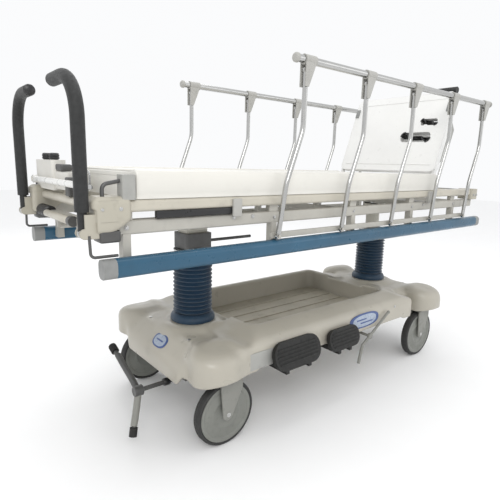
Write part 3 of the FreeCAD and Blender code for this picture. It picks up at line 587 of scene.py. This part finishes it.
base_cover = surface("base_cover", cover, (hood_foot[0].x, -LOBE_Y - LOBE_R - 0.01, SKIRT_LOW),
                     (hood_head[1].x, LOBE_Y + LOBE_R + 0.01, RIM_Z), COVER_CELL, BASE_CREAM)
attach(base_cover, "base")
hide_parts("base_hood_foot", "base_hood_head", "base_sides")


def wall_panel(name, x_low, x_high, z_low, z_high, side, lean, material):
    """Slightly proud panel on a side wall, a slanted outline with soft corners."""
    y = side * (SIDE_Y - 0.001)
    outline = [(x_low, z_low), (x_high, z_low), (x_high + lean, z_high), (x_low + lean, z_high)]
    panel = rounded_prism(name, turned(outline, side < 0), 0.004, lambda u, v, w: (u, y + side * w, v),
                          material, 0.0018)
    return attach(panel, "base")


def oval(centre, half_u, half_v, turns=48):
    """Superellipse outline, squarer than an ellipse."""
    points = []
    for turn in range(turns):
        angle = 2 * math.pi * turn / turns
        cos, sin = math.cos(angle), math.sin(angle)
        points.append((centre[0] + half_u * math.copysign(abs(cos) ** 0.8, cos),
                       centre[1] + half_v * math.copysign(abs(sin) ** 0.8, sin)))
    return points


def badge(name, centre, half_u, half_v, place, bars, flip):
    """Oval name plate without lettering: blue rim, pale face and a few plain raised bars."""
    layers = [(1.0, 0.0, 0.0035, BADGE_BLUE), (0.80, 0.0030, 0.0018, BADGE_FACE)]
    parts = []
    for share, start, depth, material in layers:
        outline = turned(oval(centre, half_u * share, half_v * share), flip)
        parts.append(rounded_prism("layer", outline, depth, lambda u, v, w, s=start: place(u, v, s + w),
                                   material, 0.0008))
    for low, high, level in bars:
        u0, u1 = centre[0] + low * half_u, centre[0] + high * half_u
        v0 = centre[1] + level * half_v
        outline = turned(rect((u0, u1), (v0, v0 + 0.006)), flip)
        parts.append(rounded_prism("bar", outline, 0.0012, lambda u, v, w: place(u, v, 0.0044 + w),
                                   BADGE_BLUE, 0.0005))
    plate = joined(name, parts)
    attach(plate, "base")


def side_place(side):
    return lambda u, v, w: (u, side * (SIDE_Y - 0.0015 + w), v)


def end_place(u, v, w):
    """Point on the leaning foot end wall: u across, v up the slope, w outwards."""
    out, up = END_LEAN
    return (hood_foot[0].x + out * 0.002 + v * up - w * out, u, END_LEAN_Z + v * out + w * up)


for side, tag in ((-1, "near"), (1, "far")):
    # Painted shade: a grey plate behind each lobe stands in for the shaded recess there
    wall_panel("painted_shade_panel_" + tag, -0.590, -0.462, 0.266, 0.330, side, 0.0, PANEL_GREY)
    badge("side_badge_" + tag, (0.090, 0.318), 0.105, 0.034, side_place(side),
          [(-0.55, 0.10, 0.10), (-0.30, 0.55, -0.35)], side < 0)
badge("end_badge", (-0.020, 0.050), 0.046, 0.028, end_place, [(-0.5, 0.5, -0.1)], False)

# ---- bellows

PLEATS = 15
PLEAT = ((0.0, 0.0125), (0.12, 0.0105), (0.36, 0.0025), (0.5, 0.0004), (0.64, 0.0025), (0.88, 0.0105))


def bellows_profile():
    low, high = BELLOWS_BOX[0].z, BELLOWS_BOX[1].z
    radius = (BELLOWS_BOX[1].y - BELLOWS_BOX[0].y) / 2 - 0.012
    outside = [(low, radius + 0.0105), (low + 0.006, radius + 0.0118), (low + 0.014, radius + 0.0105),
               (low + 0.024, radius + 0.005), (low + 0.030, radius - 0.004)]
    start = low + 0.031
    pitch = (high - 0.006 - start) / PLEATS
    for i in range(PLEATS):
        z = start + pitch * i
        for part, depth in PLEAT:
            outside.append((z + pitch * part, radius - depth))
    outside.append((high - 0.006, radius - 0.0125))
    outside.append((high - 0.0005, radius - 0.008))
    inside = [(high - 0.0005, 0.0575), (low, 0.0575)]
    return outside + inside


def bellows(name, x):
    piece = closed_lathe(name, bellows_profile(), (x, 0, 0), "z", BELLOWS_NAVY, turns=96, sharp=60.0)
    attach(piece, "base")
    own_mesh(piece)
    return piece


foot_bellows = bellows("bellows_foot", -COLUMN_X)
bellows("bellows_head", COLUMN_X)
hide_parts("bellows")

# ---- casters

WHEEL_R = (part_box("tyre_foot_near")[1].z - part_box("tyre_foot_near")[0].z) / 2
WHEEL_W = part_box("tyre_foot_near")[1].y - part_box("tyre_foot_near")[0].y
TRAIL = 0.025
FORK_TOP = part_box("caster_fork_foot_near")[1].z
FORK_GAP = 0.0205               # half the width between the cheeks
FORK_FACE = 0.0298              # outer face of the axle boss


def fork_field(axle, swivel):
    """Moulded fork: two tapering cheeks joined by a crown over the wheel."""
    def field(p):
        q = p - np.array([0, axle[1], 0])
        side = np.abs(q[:, 1])
        a = np.array([axle[0], axle[2]])
        b = np.array([swivel[0] - 0.008, 0.222])
        flat = np.stack([p[:, 0], p[:, 2]], 1)
        t = np.clip(((flat - a) @ (b - a)) / ((b - a) @ (b - a)), 0, 1)
        width = 0.023 + 0.027 * t
        cheek = np.linalg.norm(flat - a - t[:, None] * (b - a), axis=1) - width
        body = both_of(cheek, side - 0.0285, 0.006)
        body = both_of(body, p[:, 2] - 0.2535, 0.006)
        slot = np.maximum(side - FORK_GAP, np.linalg.norm(flat - a, axis=1) - (WHEEL_R + 0.006))
        body = minus(body, slot, 0.004)
        boss = np.maximum(np.linalg.norm(flat - a, axis=1) - 0.014, side - FORK_FACE)
        body = union(body, minus(boss, side - FORK_GAP, 0.002), 0.003)
        return body
    return field


def caster(end, side):
    tag = end + "_" + side
    fork_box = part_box("caster_fork_" + tag)
    tyre_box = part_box("tyre_" + tag)
    axle = (tyre_box[0] + tyre_box[1]) / 2
    swivel = axle + Vector((TRAIL, 0, 0))
    low, high = (fork_box[0].x, fork_box[0].y, 0.09), (fork_box[1].x, fork_box[1].y, 0.256)
    fork = surface("fork_shell_" + tag, fork_field(axle, swivel), low, high, 0.0028, FORK_GREY)
    race = [(0.2525, 0.0), (0.2525, 0.030), (0.257, 0.0305), (0.258, 0.0275), (0.263, 0.027),
            (FORK_TOP - 0.026, 0.0195), (FORK_TOP - 0.001, 0.0195), (FORK_TOP, 0.0185), (FORK_TOP, 0.0)]
    bearing = lathe("fork_bearing", race, (swivel.x, swivel.y, 0), "z", BRUSHED)
    parts = [fork, bearing]
    for face in (-1, 1):
        nut = [(0.0, 0.0), (face * 0.0015, 0.0085), (0.0, 0.0092), (-face * 0.004, 0.0092)]
        nut = [(face * FORK_FACE + d, r) for d, r in nut]
        parts.append(lathe("axle_nut", nut, axle, "y", BRUSHED, turns=6, sharp=20))
    whole = joined("caster_fork_body_" + tag, parts)
    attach(whole, "caster_" + tag)
    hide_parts("caster_fork_" + tag)
    half = WHEEL_W / 2
    rim = WHEEL_R - 0.013
    outline = [(half, 0.0068), (half, 0.016), (half - 0.0015, 0.0175), (half - 0.0035, 0.020),
               (half - 0.0052, 0.026), (half - 0.0050, 0.050), (half - 0.0035, 0.0525),
               (half - 0.0035, 0.0555),
               (half - 0.0050, 0.058), (half - 0.0050, 0.090), (half - 0.0025, 0.0935),
               (half - 0.0015, 0.097), (half - 0.0015, rim - 0.0004)]
    disc = outline + [(-a, r) for a, r in outline[::-1]]
    wheel = closed_lathe("wheel_" + tag, disc, axle, "y", WHEEL_GREY, turns=96)
    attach(wheel, "wheel_" + tag)
    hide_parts("wheel_disc_" + tag)
    tread = [(half - 0.003, rim + 0.0002), (half - 0.0008, rim + 0.002), (half, rim + 0.005),
             (half - 0.0008, WHEEL_R - 0.005), (half - 0.0030, WHEEL_R - 0.0022),
             (half - 0.0070, WHEEL_R - 0.0006),
             (0.0075, WHEEL_R), (0.0062, WHEEL_R - 0.0012), (0.0050, WHEEL_R - 0.0012), (0.0038, WHEEL_R)]
    ring = tread + [(-a, r) for a, r in tread[::-1]]
    tyre = closed_lathe("tyre_ring_" + tag, ring, axle, "y", TYRE, turns=112, sharp=50.0)
    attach(tyre, "wheel_" + tag)
    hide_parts("tyre_" + tag)


for end, side in CORNERS:
    caster(end, side)

# ---- finishes of the CAD nodes

def paint(node, material, others=None):
    """Give a CAD node its material; others is [(test of a face centre, material)]."""
    mesh = NODES[node].data
    mesh.materials.clear()
    mesh.materials.append(material)
    for polygon in mesh.polygons:
        polygon.material_index = 0
    for number, (test, other) in enumerate(others or [], 1):
        mesh.materials.append(other)
        for polygon in mesh.polygons:
            if test(polygon.center):
                polygon.material_index = number


PLAIN = {
    "base_frame": CHASSIS, "storage_tray": TRAY_CREAM, "jack_cylinders": CYLINDER, "brake_lever": DARK_STEEL,
    "brake_pads": RUBBER, "side_lever": FORK_GREY, "column_stages": BRUSHED,
    "head_ram": COLUMN_CREAM, "litter_frame": FRAME_GREY, "side_tubes": TUBE_BEIGE,
    "bumpers": BUMPER_BLUE, "bumper_caps": CAP_GREY,
    "rail_mounts": FRAME_GREY, "head_bumper": CAP_GREY,
    "backrest_panel": BACK_WHITE, "backrest_braces": PANEL_GREY, "backrest_cover": BACK_WHITE,
    "backrest_grip": FOAM, "iv_pole": POLE_WHITE, "iv_mast": CHROME,
    "rail_top_near": CHROME, "rail_top_far": CHROME,
    "rail_knuckles_near": KNUCKLE, "rail_knuckles_far": KNUCKLE,
}
for node, material in PLAIN.items():
    paint(node, material)
GRIP_LOW = 0.8565               # the grip covers a handle from here up
GRIP_END = 0.1255
GRIP_R = 0.018

for side in ("near", "far"):
    for number in range(1, 6):
        paint("rail_post_%s_%d" % (side, number), CHROME)
    for pedal in ("raise", "lower"):
        paint("pedal_%s_%s" % (pedal, side), RUBBER)
    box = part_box("push_handle_" + side)

    def on_core(c, low=GRIP_LOW, end=GRIP_END, middle=(box[0].x + box[1].x) / 2, radius=0.0135):
        return c.z < low or (abs(c.y) < end and math.hypot(c.x - middle, c.z - (box[1].z - GRIP_R)) < radius)

    paint("push_handle_" + side, FOAM, [(on_core, BRUSHED)])


def stop_block(c):
    return c.z > 0.8855 and -1.02 < c.x < -0.97


def guard_rod(c):
    return c.z < 0.786


def box_knob(c):
    return c.z > 0.9855


paint("corner_castings", CASTING, [(stop_block, PANEL_GREY), (guard_rod, DARK_STEEL)])
paint("foot_end_box", DECK_WHITE, [(box_knob, KNOB)])


def low_block(c):
    return c.z < 0.7225


paint("foot_pivot", COLUMN_CREAM, [(low_block, DARK_STEEL)])

# ---- deck

deck_low, deck_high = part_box("deck")
DECK_WALL = 0.010
DECK_LIP = 0.034                # width of the raised border
DECK_DROP = 0.006               # the lying surface lies this far under the border
SEAM = 0.004
SEAM_AT = (0.42, 0.98)          # cross seams, from the foot end of the deck


def deck_section(seam, inset):
    """Closed profile across the deck; a seam lowers the lying surface, an inset rounds the ends."""
    half, top = deck_high.y - inset, deck_high.z - inset
    floor_z = min(deck_high.z - DECK_DROP - seam, top)
    side_z = deck_low.z
    outer = [(half - 0.002, side_z), (half - 0.002, side_z + 0.014), (half, side_z + 0.017),
             (half, top - 0.013), (half - 0.0035, top - 0.0045), (half - 0.012, top - 0.0005),
             (half - 0.018, top),
             (half - DECK_LIP + 0.006, top), (half - DECK_LIP + 0.002, max(top - 0.0015, floor_z)),
             (half - DECK_LIP - 0.002, floor_z), (half - DECK_LIP - 0.007, floor_z)]
    inner = [(deck_high.y - DECK_WALL, side_z), (deck_high.y - DECK_WALL, deck_high.z - 2 * DECK_WALL)]
    upper = outer + [(-y, z) for y, z in outer[::-1]]
    return upper + [(-y, z) for y, z in inner] + inner[::-1], len(upper)


def deck_shell():
    """Lofted deck with a raised border on all sides, two cross seams and rounded end edges."""
    stations = [(deck_low.x, 0.0, 0.009), (deck_low.x + 0.003, 0.0, 0.003), (deck_low.x + 0.010, 0.0, 0.0),
                (deck_low.x + 0.040, 0.0, 0.0)]
    for x in (deck_low.x + along for along in SEAM_AT):
        stations += [(x - SEAM, 0.0, 0.0), (x - SEAM / 2, SEAM, 0.0), (x + SEAM / 2, SEAM, 0.0),
                     (x + SEAM, 0.0, 0.0)]
    stations += [(deck_high.x - 0.010, 0.0, 0.0), (deck_high.x - 0.003, 0.0, 0.003),
                 (deck_high.x, 0.0, 0.009)]
    vertices = []
    faces = []
    for x, seam, inset in stations:
        section, upper = deck_section(seam, inset)
        vertices += [(x, y, z) for y, z in section]
    count = len(section)
    for row in range(len(stations) - 1):
        for k in range(count):
            after = (k + 1) % count
            a, b = row * count, (row + 1) * count
            faces.append((a + k, b + k, b + after, a + after))
    last = (len(stations) - 1) * count
    faces.append(tuple(range(upper)))
    faces.append(tuple(last + k for k in range(upper - 1, -1, -1)))
    border = rounded_box("deck_border", (deck_low.x + 0.004, -deck_high.y + 0.020, deck_high.z - 0.012),
                         (deck_low.x + 0.036, deck_high.y - 0.020, deck_high.z - 0.0002), DECK_WHITE, 0.004)
    shell = crease(add_mesh("deck_shell", vertices, faces, DECK_WHITE), 35.0)
    return joined("deck_moulding", [shell, border])


deck = deck_shell()
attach(deck, "litter")
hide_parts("deck")

# ---- pedal treads

PAD_LEAN = math.radians(18.0)
PAD_FACE = 0.0088               # from the middle of a pad to its face
RIB_PITCH = 0.0135
RIB_HALF = 0.003
PAD_Y = 0.375
PAD_FOOT = 0.244
PAD_HEIGHT = {"raise": 0.108, "lower": 0.088}


def pad_tread(pedal, side, sign):
    """Ribs on the outer face of an upright oval pad."""
    node = "pedal_%s_%s" % (pedal, side)
    low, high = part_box(node)
    height = PAD_HEIGHT[pedal]
    middle = Vector(((low.x + high.x) / 2, PAD_Y, PAD_FOOT + height / 2 * math.cos(PAD_LEAN)))
    half_x, half_v = (high.x - low.x) / 2, height / 2
    round_off = half_v - 0.004

    def place(u, v, w):
        out = PAD_FACE + w
        y = middle.y + out * math.cos(PAD_LEAN) - v * math.sin(PAD_LEAN)
        return (u, sign * y, middle.z + out * math.sin(PAD_LEAN) + v * math.cos(PAD_LEAN))

    def reach(v):
        over = max(abs(v) - (half_v - round_off), 0.0)
        return half_x - round_off + math.sqrt(max(round_off ** 2 - over ** 2, 0.0)) - 0.012

    parts = []
    rows = int((half_v - 0.014) / RIB_PITCH)
    for row in range(-rows, rows + 1):
        v = row * RIB_PITCH
        v_low, v_high = v - RIB_HALF, v + RIB_HALF
        edge = min(reach(v_low), reach(v_high))
        outline = turned(rect((middle.x - edge, middle.x + edge), (v_low, v_high)), sign > 0)
        parts.append(rounded_prism("rib", outline, 0.0032, place, RUBBER, 0.0012))
    tread = joined("tread_%s_%s" % (pedal, side), parts)
    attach(tread, node)


for pedal in ("raise", "lower"):
    pad_tread(pedal, "near", -1)
    pad_tread(pedal, "far", 1)

# ---- foot end fittings


def arc_path(points, bend, steps=8):
    """Points of a bar with rounded corners."""
    pts = [Vector(p) for p in points]
    path = [pts[0]]
    for i in range(1, len(pts) - 1):
        before = (pts[i - 1] - pts[i]).normalized() * bend
        after = (pts[i + 1] - pts[i]).normalized() * bend
        for k in range(steps + 1):
            t = k / steps
            path.append(pts[i] + before * (1 - t) ** 2 + after * t ** 2)
    return path + [pts[-1]]


def knurled(name, centre, radius, low, high, axis, material):
    """Knob with rings of grip and domed ends."""
    profile = [(low, 0.0), (low, radius * 0.7), (low + 0.002, radius * 0.92)]
    count = max(int((high - low - 0.006) / 0.006), 2)
    pitch = (high - low - 0.006) / count
    for i in range(count):
        start = low + 0.003 + pitch * i
        profile += [(start, radius), (start + pitch * 0.55, radius), (start + pitch * 0.75, radius * 0.90)]
    profile += [(high - 0.002, radius * 0.92), (high, radius * 0.6), (high, 0.0)]
    return lathe(name, profile, centre, axis, material, turns=28)


END_X = -1.070
parts = [
    knurled("grip", (END_X, 0, 0.808), 0.021, 0.150, 0.285, "y", KNOB),
    lathe("sleeve", [(-0.115, 0.0), (-0.115, 0.0105), (-0.112, 0.012), (0.147, 0.012), (0.150, 0.0105),
                     (0.150, 0.0)], (-1.083, 0, 0.806), "y", TUBE_BEIGE, turns=32),
    lathe("collar", [(-0.120, 0.0), (-0.120, 0.016), (-0.095, 0.016), (-0.095, 0.0)],
          (-1.080, 0, 0.806), "y", DARK_STEEL, turns=32),
    rounded_box("catch", (-1.074, -0.070, 0.875), (-1.030, -0.034, 0.934), DARK_STEEL, 0.005),
    rounded_box("catch", (-1.066, 0.020, 0.950), (-1.030, 0.085, 0.972), DARK_STEEL, 0.006),
]
for y in (0.150, 0.235):
    parts.append(knurled("dial", (-1.048, y, 0), 0.0165, 0.9858, 1.0085, "z", KNOB))
end_gear = joined("end_gear", parts)
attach(end_gear, "litter")

parts = []
for sign in (-1, 1):
    parts.append(side_box("bracket", sign, (-1.082, 0.280, 0.772), (-1.024, 0.337, 0.806), DARK_STEEL,
                          0.007))
    latch_y = sign * 0.318
    latch = arc_path([(-1.012, latch_y, 0.936), (-1.066, latch_y, 0.926), (-1.066, latch_y, 0.886)], 0.016)
    parts.append(sweep("latch", latch, 0.0055, DARK_STEEL))
    # Painted shadow: a black strip fills the gap between the deck side and the beam
    parts.append(side_box("painted_gap_shadow", sign, (-0.915, 0.314, 0.829), (-0.640, 0.328, 0.8505), KNOB, 0.003))
    parts.append(side_box("tab", sign, (-0.648, 0.327, 0.820), (-0.612, 0.338, 0.878), KNUCKLE, 0.004))
    parts.append(side_box("tab", sign, (0.560, 0.320, 0.822), (0.600, 0.341, 0.880), KNUCKLE, 0.004))
corner_gear = joined("corner_gear", parts)
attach(corner_gear, "litter")


def corner_cover(sign):
    """Cast cover round a foot corner casting, cut away underneath towards the middle."""
    def field(p):
        q = np.stack([p[:, 0], sign * p[:, 1], p[:, 2]], 1)
        block = f_box(q, (-1.098, 0.252, 0.798), (-0.992, 0.3395, 0.8905), 0.013)
        under = (q[:, 0] + 1.030) * 0.55 - (q[:, 2] - 0.806) * 0.835
        block = both_of(block, under, 0.012)
        ledge = f_box(q, (-1.085, 0.262, 0.884), (-1.010, 0.330, 0.8945), 0.005)
        block = union(block, ledge, 0.006)
        return minus(block, f_box(q, (-1.110, 0.286, 0.780), (-1.088, 0.340, 0.862), 0.006), 0.004)
    y_low, y_high = sorted((sign * 0.252, sign * 0.340))
    return surface("cover", field, (-1.098, y_low, 0.798), (-0.992, y_high, 0.895), 0.0035, CASTING)


corner_covers = joined("corner_covers", [corner_cover(sign) for sign in (-1, 1)])
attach(corner_covers, "litter")

PIVOT = Vector((-0.880, -0.100, 0.185))
long_arm = [PIVOT + Vector((0, 0.012, 0.006)), PIVOT + Vector((0, 0.060, 0.028)),
            PIVOT + Vector((0, 0.120, 0.050)), PIVOT + Vector((0, 0.172, 0.072))]
short_arm = [PIVOT + Vector((-0.002, -0.003, -0.012)), PIVOT + Vector((-0.012, -0.012, -0.050)),
             PIVOT + Vector((-0.024, -0.022, -0.090)), PIVOT + Vector((-0.0315, -0.0275, -0.112))]
parts = [
    sweep("arm", long_arm, 0.0118, DARK_STEEL, sides=20),
    sweep("arm", short_arm, 0.0125, FORK_GREY, sides=20),
    lathe("hub", [(-0.0165, 0.0), (-0.0165, 0.0165), (-0.0145, 0.0190), (0.0145, 0.0190), (0.0165, 0.0165),
                  (0.0165, 0.0)], PIVOT, "x", DARK_STEEL, turns=40),
    lathe("shaft_collar", [(0.10, 0.0), (0.10, 0.0125), (0.103, 0.0140), (0.122, 0.0140), (0.125, 0.0125),
                           (0.125, 0.0)], PIVOT, "x", KNOB, turns=32),
]
PAD_WAY = Vector((0, 0.937, 0.350))
for k in range(5):
    start = PIVOT + Vector((0, 0.196, 0.0774)) + PAD_WAY * (0.0065 * k)
    parts.append(sweep("tread", [start, start + PAD_WAY * 0.0032], 0.0152, RUBBER, sides=28))
brake_trim = joined("brake_trim", parts)
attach(brake_trim, "brake_lever")

for side, sign in (("near", -1), ("far", 1)):
    low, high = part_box("push_handle_" + side)
    tip = (low.x + high.x) / 2
    inner = min(abs(low.y), abs(high.y))
    profile = [(0.002, 0.0), (0.002, 0.0150), (-0.001, 0.0172), (-0.005, 0.0160), (-0.008, 0.0105),
               (-0.009, 0.0)]
    plug = lathe("handle_plug_" + side, [(sign * (inner + d), r) for d, r in profile],
                 (tip, 0, high.z - GRIP_R), "y", KNOB, turns=40)
    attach(plug, "push_handle_" + side)

# ---- bolts


def bolt(centre, axis, outward, size):
    """Hexagon head on a washer."""
    washer = [(0.0, 0.0), (0.0, size * 1.25), (0.0011, size * 1.25), (0.0013, size * 1.18), (0.0013, 0.0)]
    head = [(0.0012, 0.0), (0.0012, size), (size * 0.62, size), (size * 0.72, size * 0.82),
            (size * 0.72, 0.0)]
    washer, head = ([(outward * d, r) for d, r in profile] for profile in (washer, head))
    return [lathe("washer", washer, centre, axis, BRUSHED, turns=20),
            lathe("hex", head, centre, axis, BRUSHED, turns=6, sharp=20)]


BEAM_FACE = 0.3152              # outer face of the lower beams
BOLT = 0.0055
parts = []
for sign in (-1, 1):
    for x in (-1.0, -0.45, 0.0, 0.45, 0.86):
        parts += bolt((x, sign * BEAM_FACE, 0.807), "y", sign, BOLT)
    for x in (-0.59, 0.59):
        for across in (-0.04, 0.04):
            parts += bolt((x + across, sign * BEAM_FACE, 0.815), "y", sign, BOLT)
    for x in (1.040, 1.072):
        parts += bolt((x, sign * 0.3402, 0.852), "y", sign, 0.006)
    for x in (-1.074, -1.024):
        parts += bolt((x, sign * 0.3385, 0.862), "y", sign, 0.0045)
bolts = joined("litter_bolts", parts)
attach(bolts, "litter")

# ---- column heads and base details

for x, tag in ((-COLUMN_X, "foot"), (COLUMN_X, "head")):
    top = BELLOWS_BOX[1].z
    clamp = lathe("bellows_clamp_" + tag,
                  [(top + 0.0010, 0.0470), (top + 0.0010, 0.0735), (top + 0.0020, 0.0755),
                   (top + 0.0062, 0.0755), (top + 0.0075, 0.0740), (top + 0.0075, 0.0520),
                   (top + 0.0110, 0.0500), (top + 0.0110, 0.0470)],
                  (x, 0, 0), "z", CAP_GREY, turns=72)
    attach(clamp, "lift")


def screw_head(radius, crown):
    return [(0.0, 0.0), (0.0, radius), (0.0012, radius - 0.0005), (0.0022, crown), (0.0026, 0.0)]


parts = []
for sign in (-1, 1):
    for x in (-0.700, 0.712):
        head = [(d + 0.3505, r) for d, r in screw_head(0.0075, 0.0052)]
        parts.append(lathe("screw", head, (x, sign * 0.150, 0), "z", BRUSHED, turns=24))
    for x in (-0.440, 0.330):
        head = [(sign * (SIDE_Y - 0.0015 + d), r) for d, r in screw_head(0.0070, 0.0048)]
        parts.append(lathe("screw", head, (x, 0, 0.335), "y", BRUSHED, turns=24))
screws = joined("cover_screws", parts)
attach(screws, "base")

# ---- hand slots of the backrest

BACK_HINGE = (0.660, 0.945)
BACK_RISE = math.radians(70.0)
LINER = ((0.0, -0.0155), (0.0, 0.0205), (-0.004, 0.0205), (-0.004, 0.0225), (0.001, 0.0230),
         (0.003, 0.0215), (0.003, -0.0155))     # (inset, depth) round the section of a slot's lip
SLOTS = ((0.215, -0.140, 0.170, 0.054), (0.298, -0.195, 0.092, 0.036))


def on_back(u, y, w):
    """u up the back from the hinge, w out of its front face."""
    cos, sin = math.cos(BACK_RISE), math.sin(BACK_RISE)
    return (BACK_HINGE[0] + u * cos - w * sin, y, BACK_HINGE[1] + u * sin + w * cos)


def slot_outline(u_mid, y_mid, length, width, inset):
    radius = width / 2 - 0.004
    points = []
    for corner, (du, dy) in enumerate(((1, 1), (1, -1), (-1, -1), (-1, 1))):
        for k in range(7):
            angle = math.pi / 2 * (1 - corner) - math.pi / 2 * k / 6
            reach = radius - inset
            points.append((u_mid + du * (width / 2 - radius) + reach * math.sin(angle),
                           y_mid + dy * (length / 2 - radius) + reach * math.cos(angle)))
    return points


def slot_liner(number, u_mid, y_mid, length, width):
    """Dark lip that lines a hand slot from front to back."""
    rings = []
    for inset, w in LINER:
        rings.append([on_back(u, y, w) for u, y in slot_outline(u_mid, y_mid, length, width, inset)])
    count = len(rings[0])
    vertices = [point for ring in rings for point in ring]
    faces = []
    for row in range(len(rings)):
        low, high = row * count, (row + 1) % len(rings) * count
        for k in range(count):
            after = (k + 1) % count
            faces.append((low + k, low + after, high + after, high + k))
    liner = crease(add_mesh("slot_liner_%d" % number, vertices, faces, KNOB), 40.0)
    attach(liner, "backrest")


for number, slot_size in enumerate(SLOTS, 1):
    slot_liner(number, *slot_size)


def back_bar(name, u, y, w, material, bevel):
    """Bevelled block given in backrest coordinates by (low, high) pairs."""
    return rounded_prism(name, rect(u, y), w[1] - w[0], lambda a, b, c: on_back(a, b, w[0] + c), material,
                         bevel)


parts = [back_bar("rib", (0.060, 0.066), (-0.270, 0.270), (0.0190, 0.0220), BACK_WHITE, 0.0010),
         back_bar("rib", (0.420, 0.426), (-0.270, 0.270), (0.0190, 0.0220), BACK_WHITE, 0.0010)]
for y in (-0.150, 0.150):
    parts.append(back_bar("strap", (0.030, 0.140), (y - 0.018, y + 0.018), (-0.0190, -0.0145), PANEL_GREY,
                          0.0015))
for sign in (-1, 1):
    pad_y = (sign * 0.284 - 0.012, sign * 0.284 + 0.012)
    parts.append(back_bar("pad", (0.350, 0.400), pad_y, (0.0190, 0.0265), CAP_GREY, 0.0030))
trim = joined("backrest_trim", parts)
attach(trim, "backrest")

# ---- stage

def area_light(name, place, target, size, power, colour=(1, 1, 1)):
    data = bpy.data.lights.new(name, "AREA")
    data.shape = "RECTANGLE"
    data.size, data.size_y = size
    data.energy = power
    data.color = colour
    lamp = bpy.data.objects.new(name, data)
    bpy.context.scene.collection.objects.link(lamp)
    lamp.location = place
    lamp.rotation_mode = "QUATERNION"
    lamp.rotation_quaternion = (Vector(target) - Vector(place)).to_track_quat("-Z", "Y")


def floor():
    size = 14.0
    corners = [(-size, -size, 0), (size, -size, 0), (size, size, 0), (-size, size, 0)]
    ground = add_mesh("studio_floor", corners, [(0, 1, 2, 3)], FLOOR, smooth=False)


FLOOR = finish("studio_floor", (0.94, 0.94, 0.94), 0.8, tint=0.01, dirt=0.0, grain=80.0, grain_depth=0.02)
floor()
area_light("key", (-2.6, -3.4, 3.4), (0, 0, 0.6), (2.2, 1.8), 62.0, (1.0, 0.99, 0.97))
area_light("fill", (2.8, -3.4, 2.2), (0.2, 0, 0.6), (2.4, 2.0), 12.0)
area_light("back", (0.6, 3.6, 3.2), (0, 0, 0.8), (3.2, 1.6), 26.0)
area_light("top", (0.0, 0.0, 4.2), (0, 0, 0), (3.2, 2.2), 26.0)
world = bpy.data.worlds.new("studio_world")
world.use_nodes = True
world.node_tree.nodes["Background"].inputs["Color"].default_value = (0.985, 0.99, 1.0, 1)
world.node_tree.nodes["Background"].inputs["Strength"].default_value = 0.98
bpy.context.scene.world = world
bpy.context.scene.view_settings.view_transform = "Standard"

# ---- camera

CAMERA_PLACE = (-1.493, -1.444, 0.987)
CAMERA_YAW = 50.36
CAMERA_PITCH = -11.11
CAMERA_ROLL = 1.55
FOCAL_SHARE = 0.8712            # focal length over image width
SENSOR = 36.0


def camera():
    yaw, pitch, roll = (math.radians(a) for a in (CAMERA_YAW, CAMERA_PITCH, CAMERA_ROLL))
    forward = Vector((math.cos(yaw) * math.cos(pitch), math.sin(yaw) * math.cos(pitch), math.sin(pitch)))
    right = Vector((math.sin(yaw), -math.cos(yaw), 0))
    up = right.cross(forward)
    rolled_right = right * math.cos(roll) + up * math.sin(roll)
    rolled_up = up * math.cos(roll) - right * math.sin(roll)
    data = bpy.data.cameras.new("camera")
    data.sensor_width = SENSOR
    data.lens = FOCAL_SHARE * SENSOR
    data.clip_start = 0.05
    made = bpy.data.objects.new("camera", data)
    bpy.context.scene.collection.objects.link(made)
    world_matrix = made.matrix_world.copy()
    for row in range(3):
        world_matrix[row][0] = rolled_right[row]
        world_matrix[row][1] = rolled_up[row]
        world_matrix[row][2] = -forward[row]
        world_matrix[row][3] = CAMERA_PLACE[row]
    made.matrix_world = world_matrix
    bpy.context.scene.camera = made


camera()

bpy.context.view_layer.update()
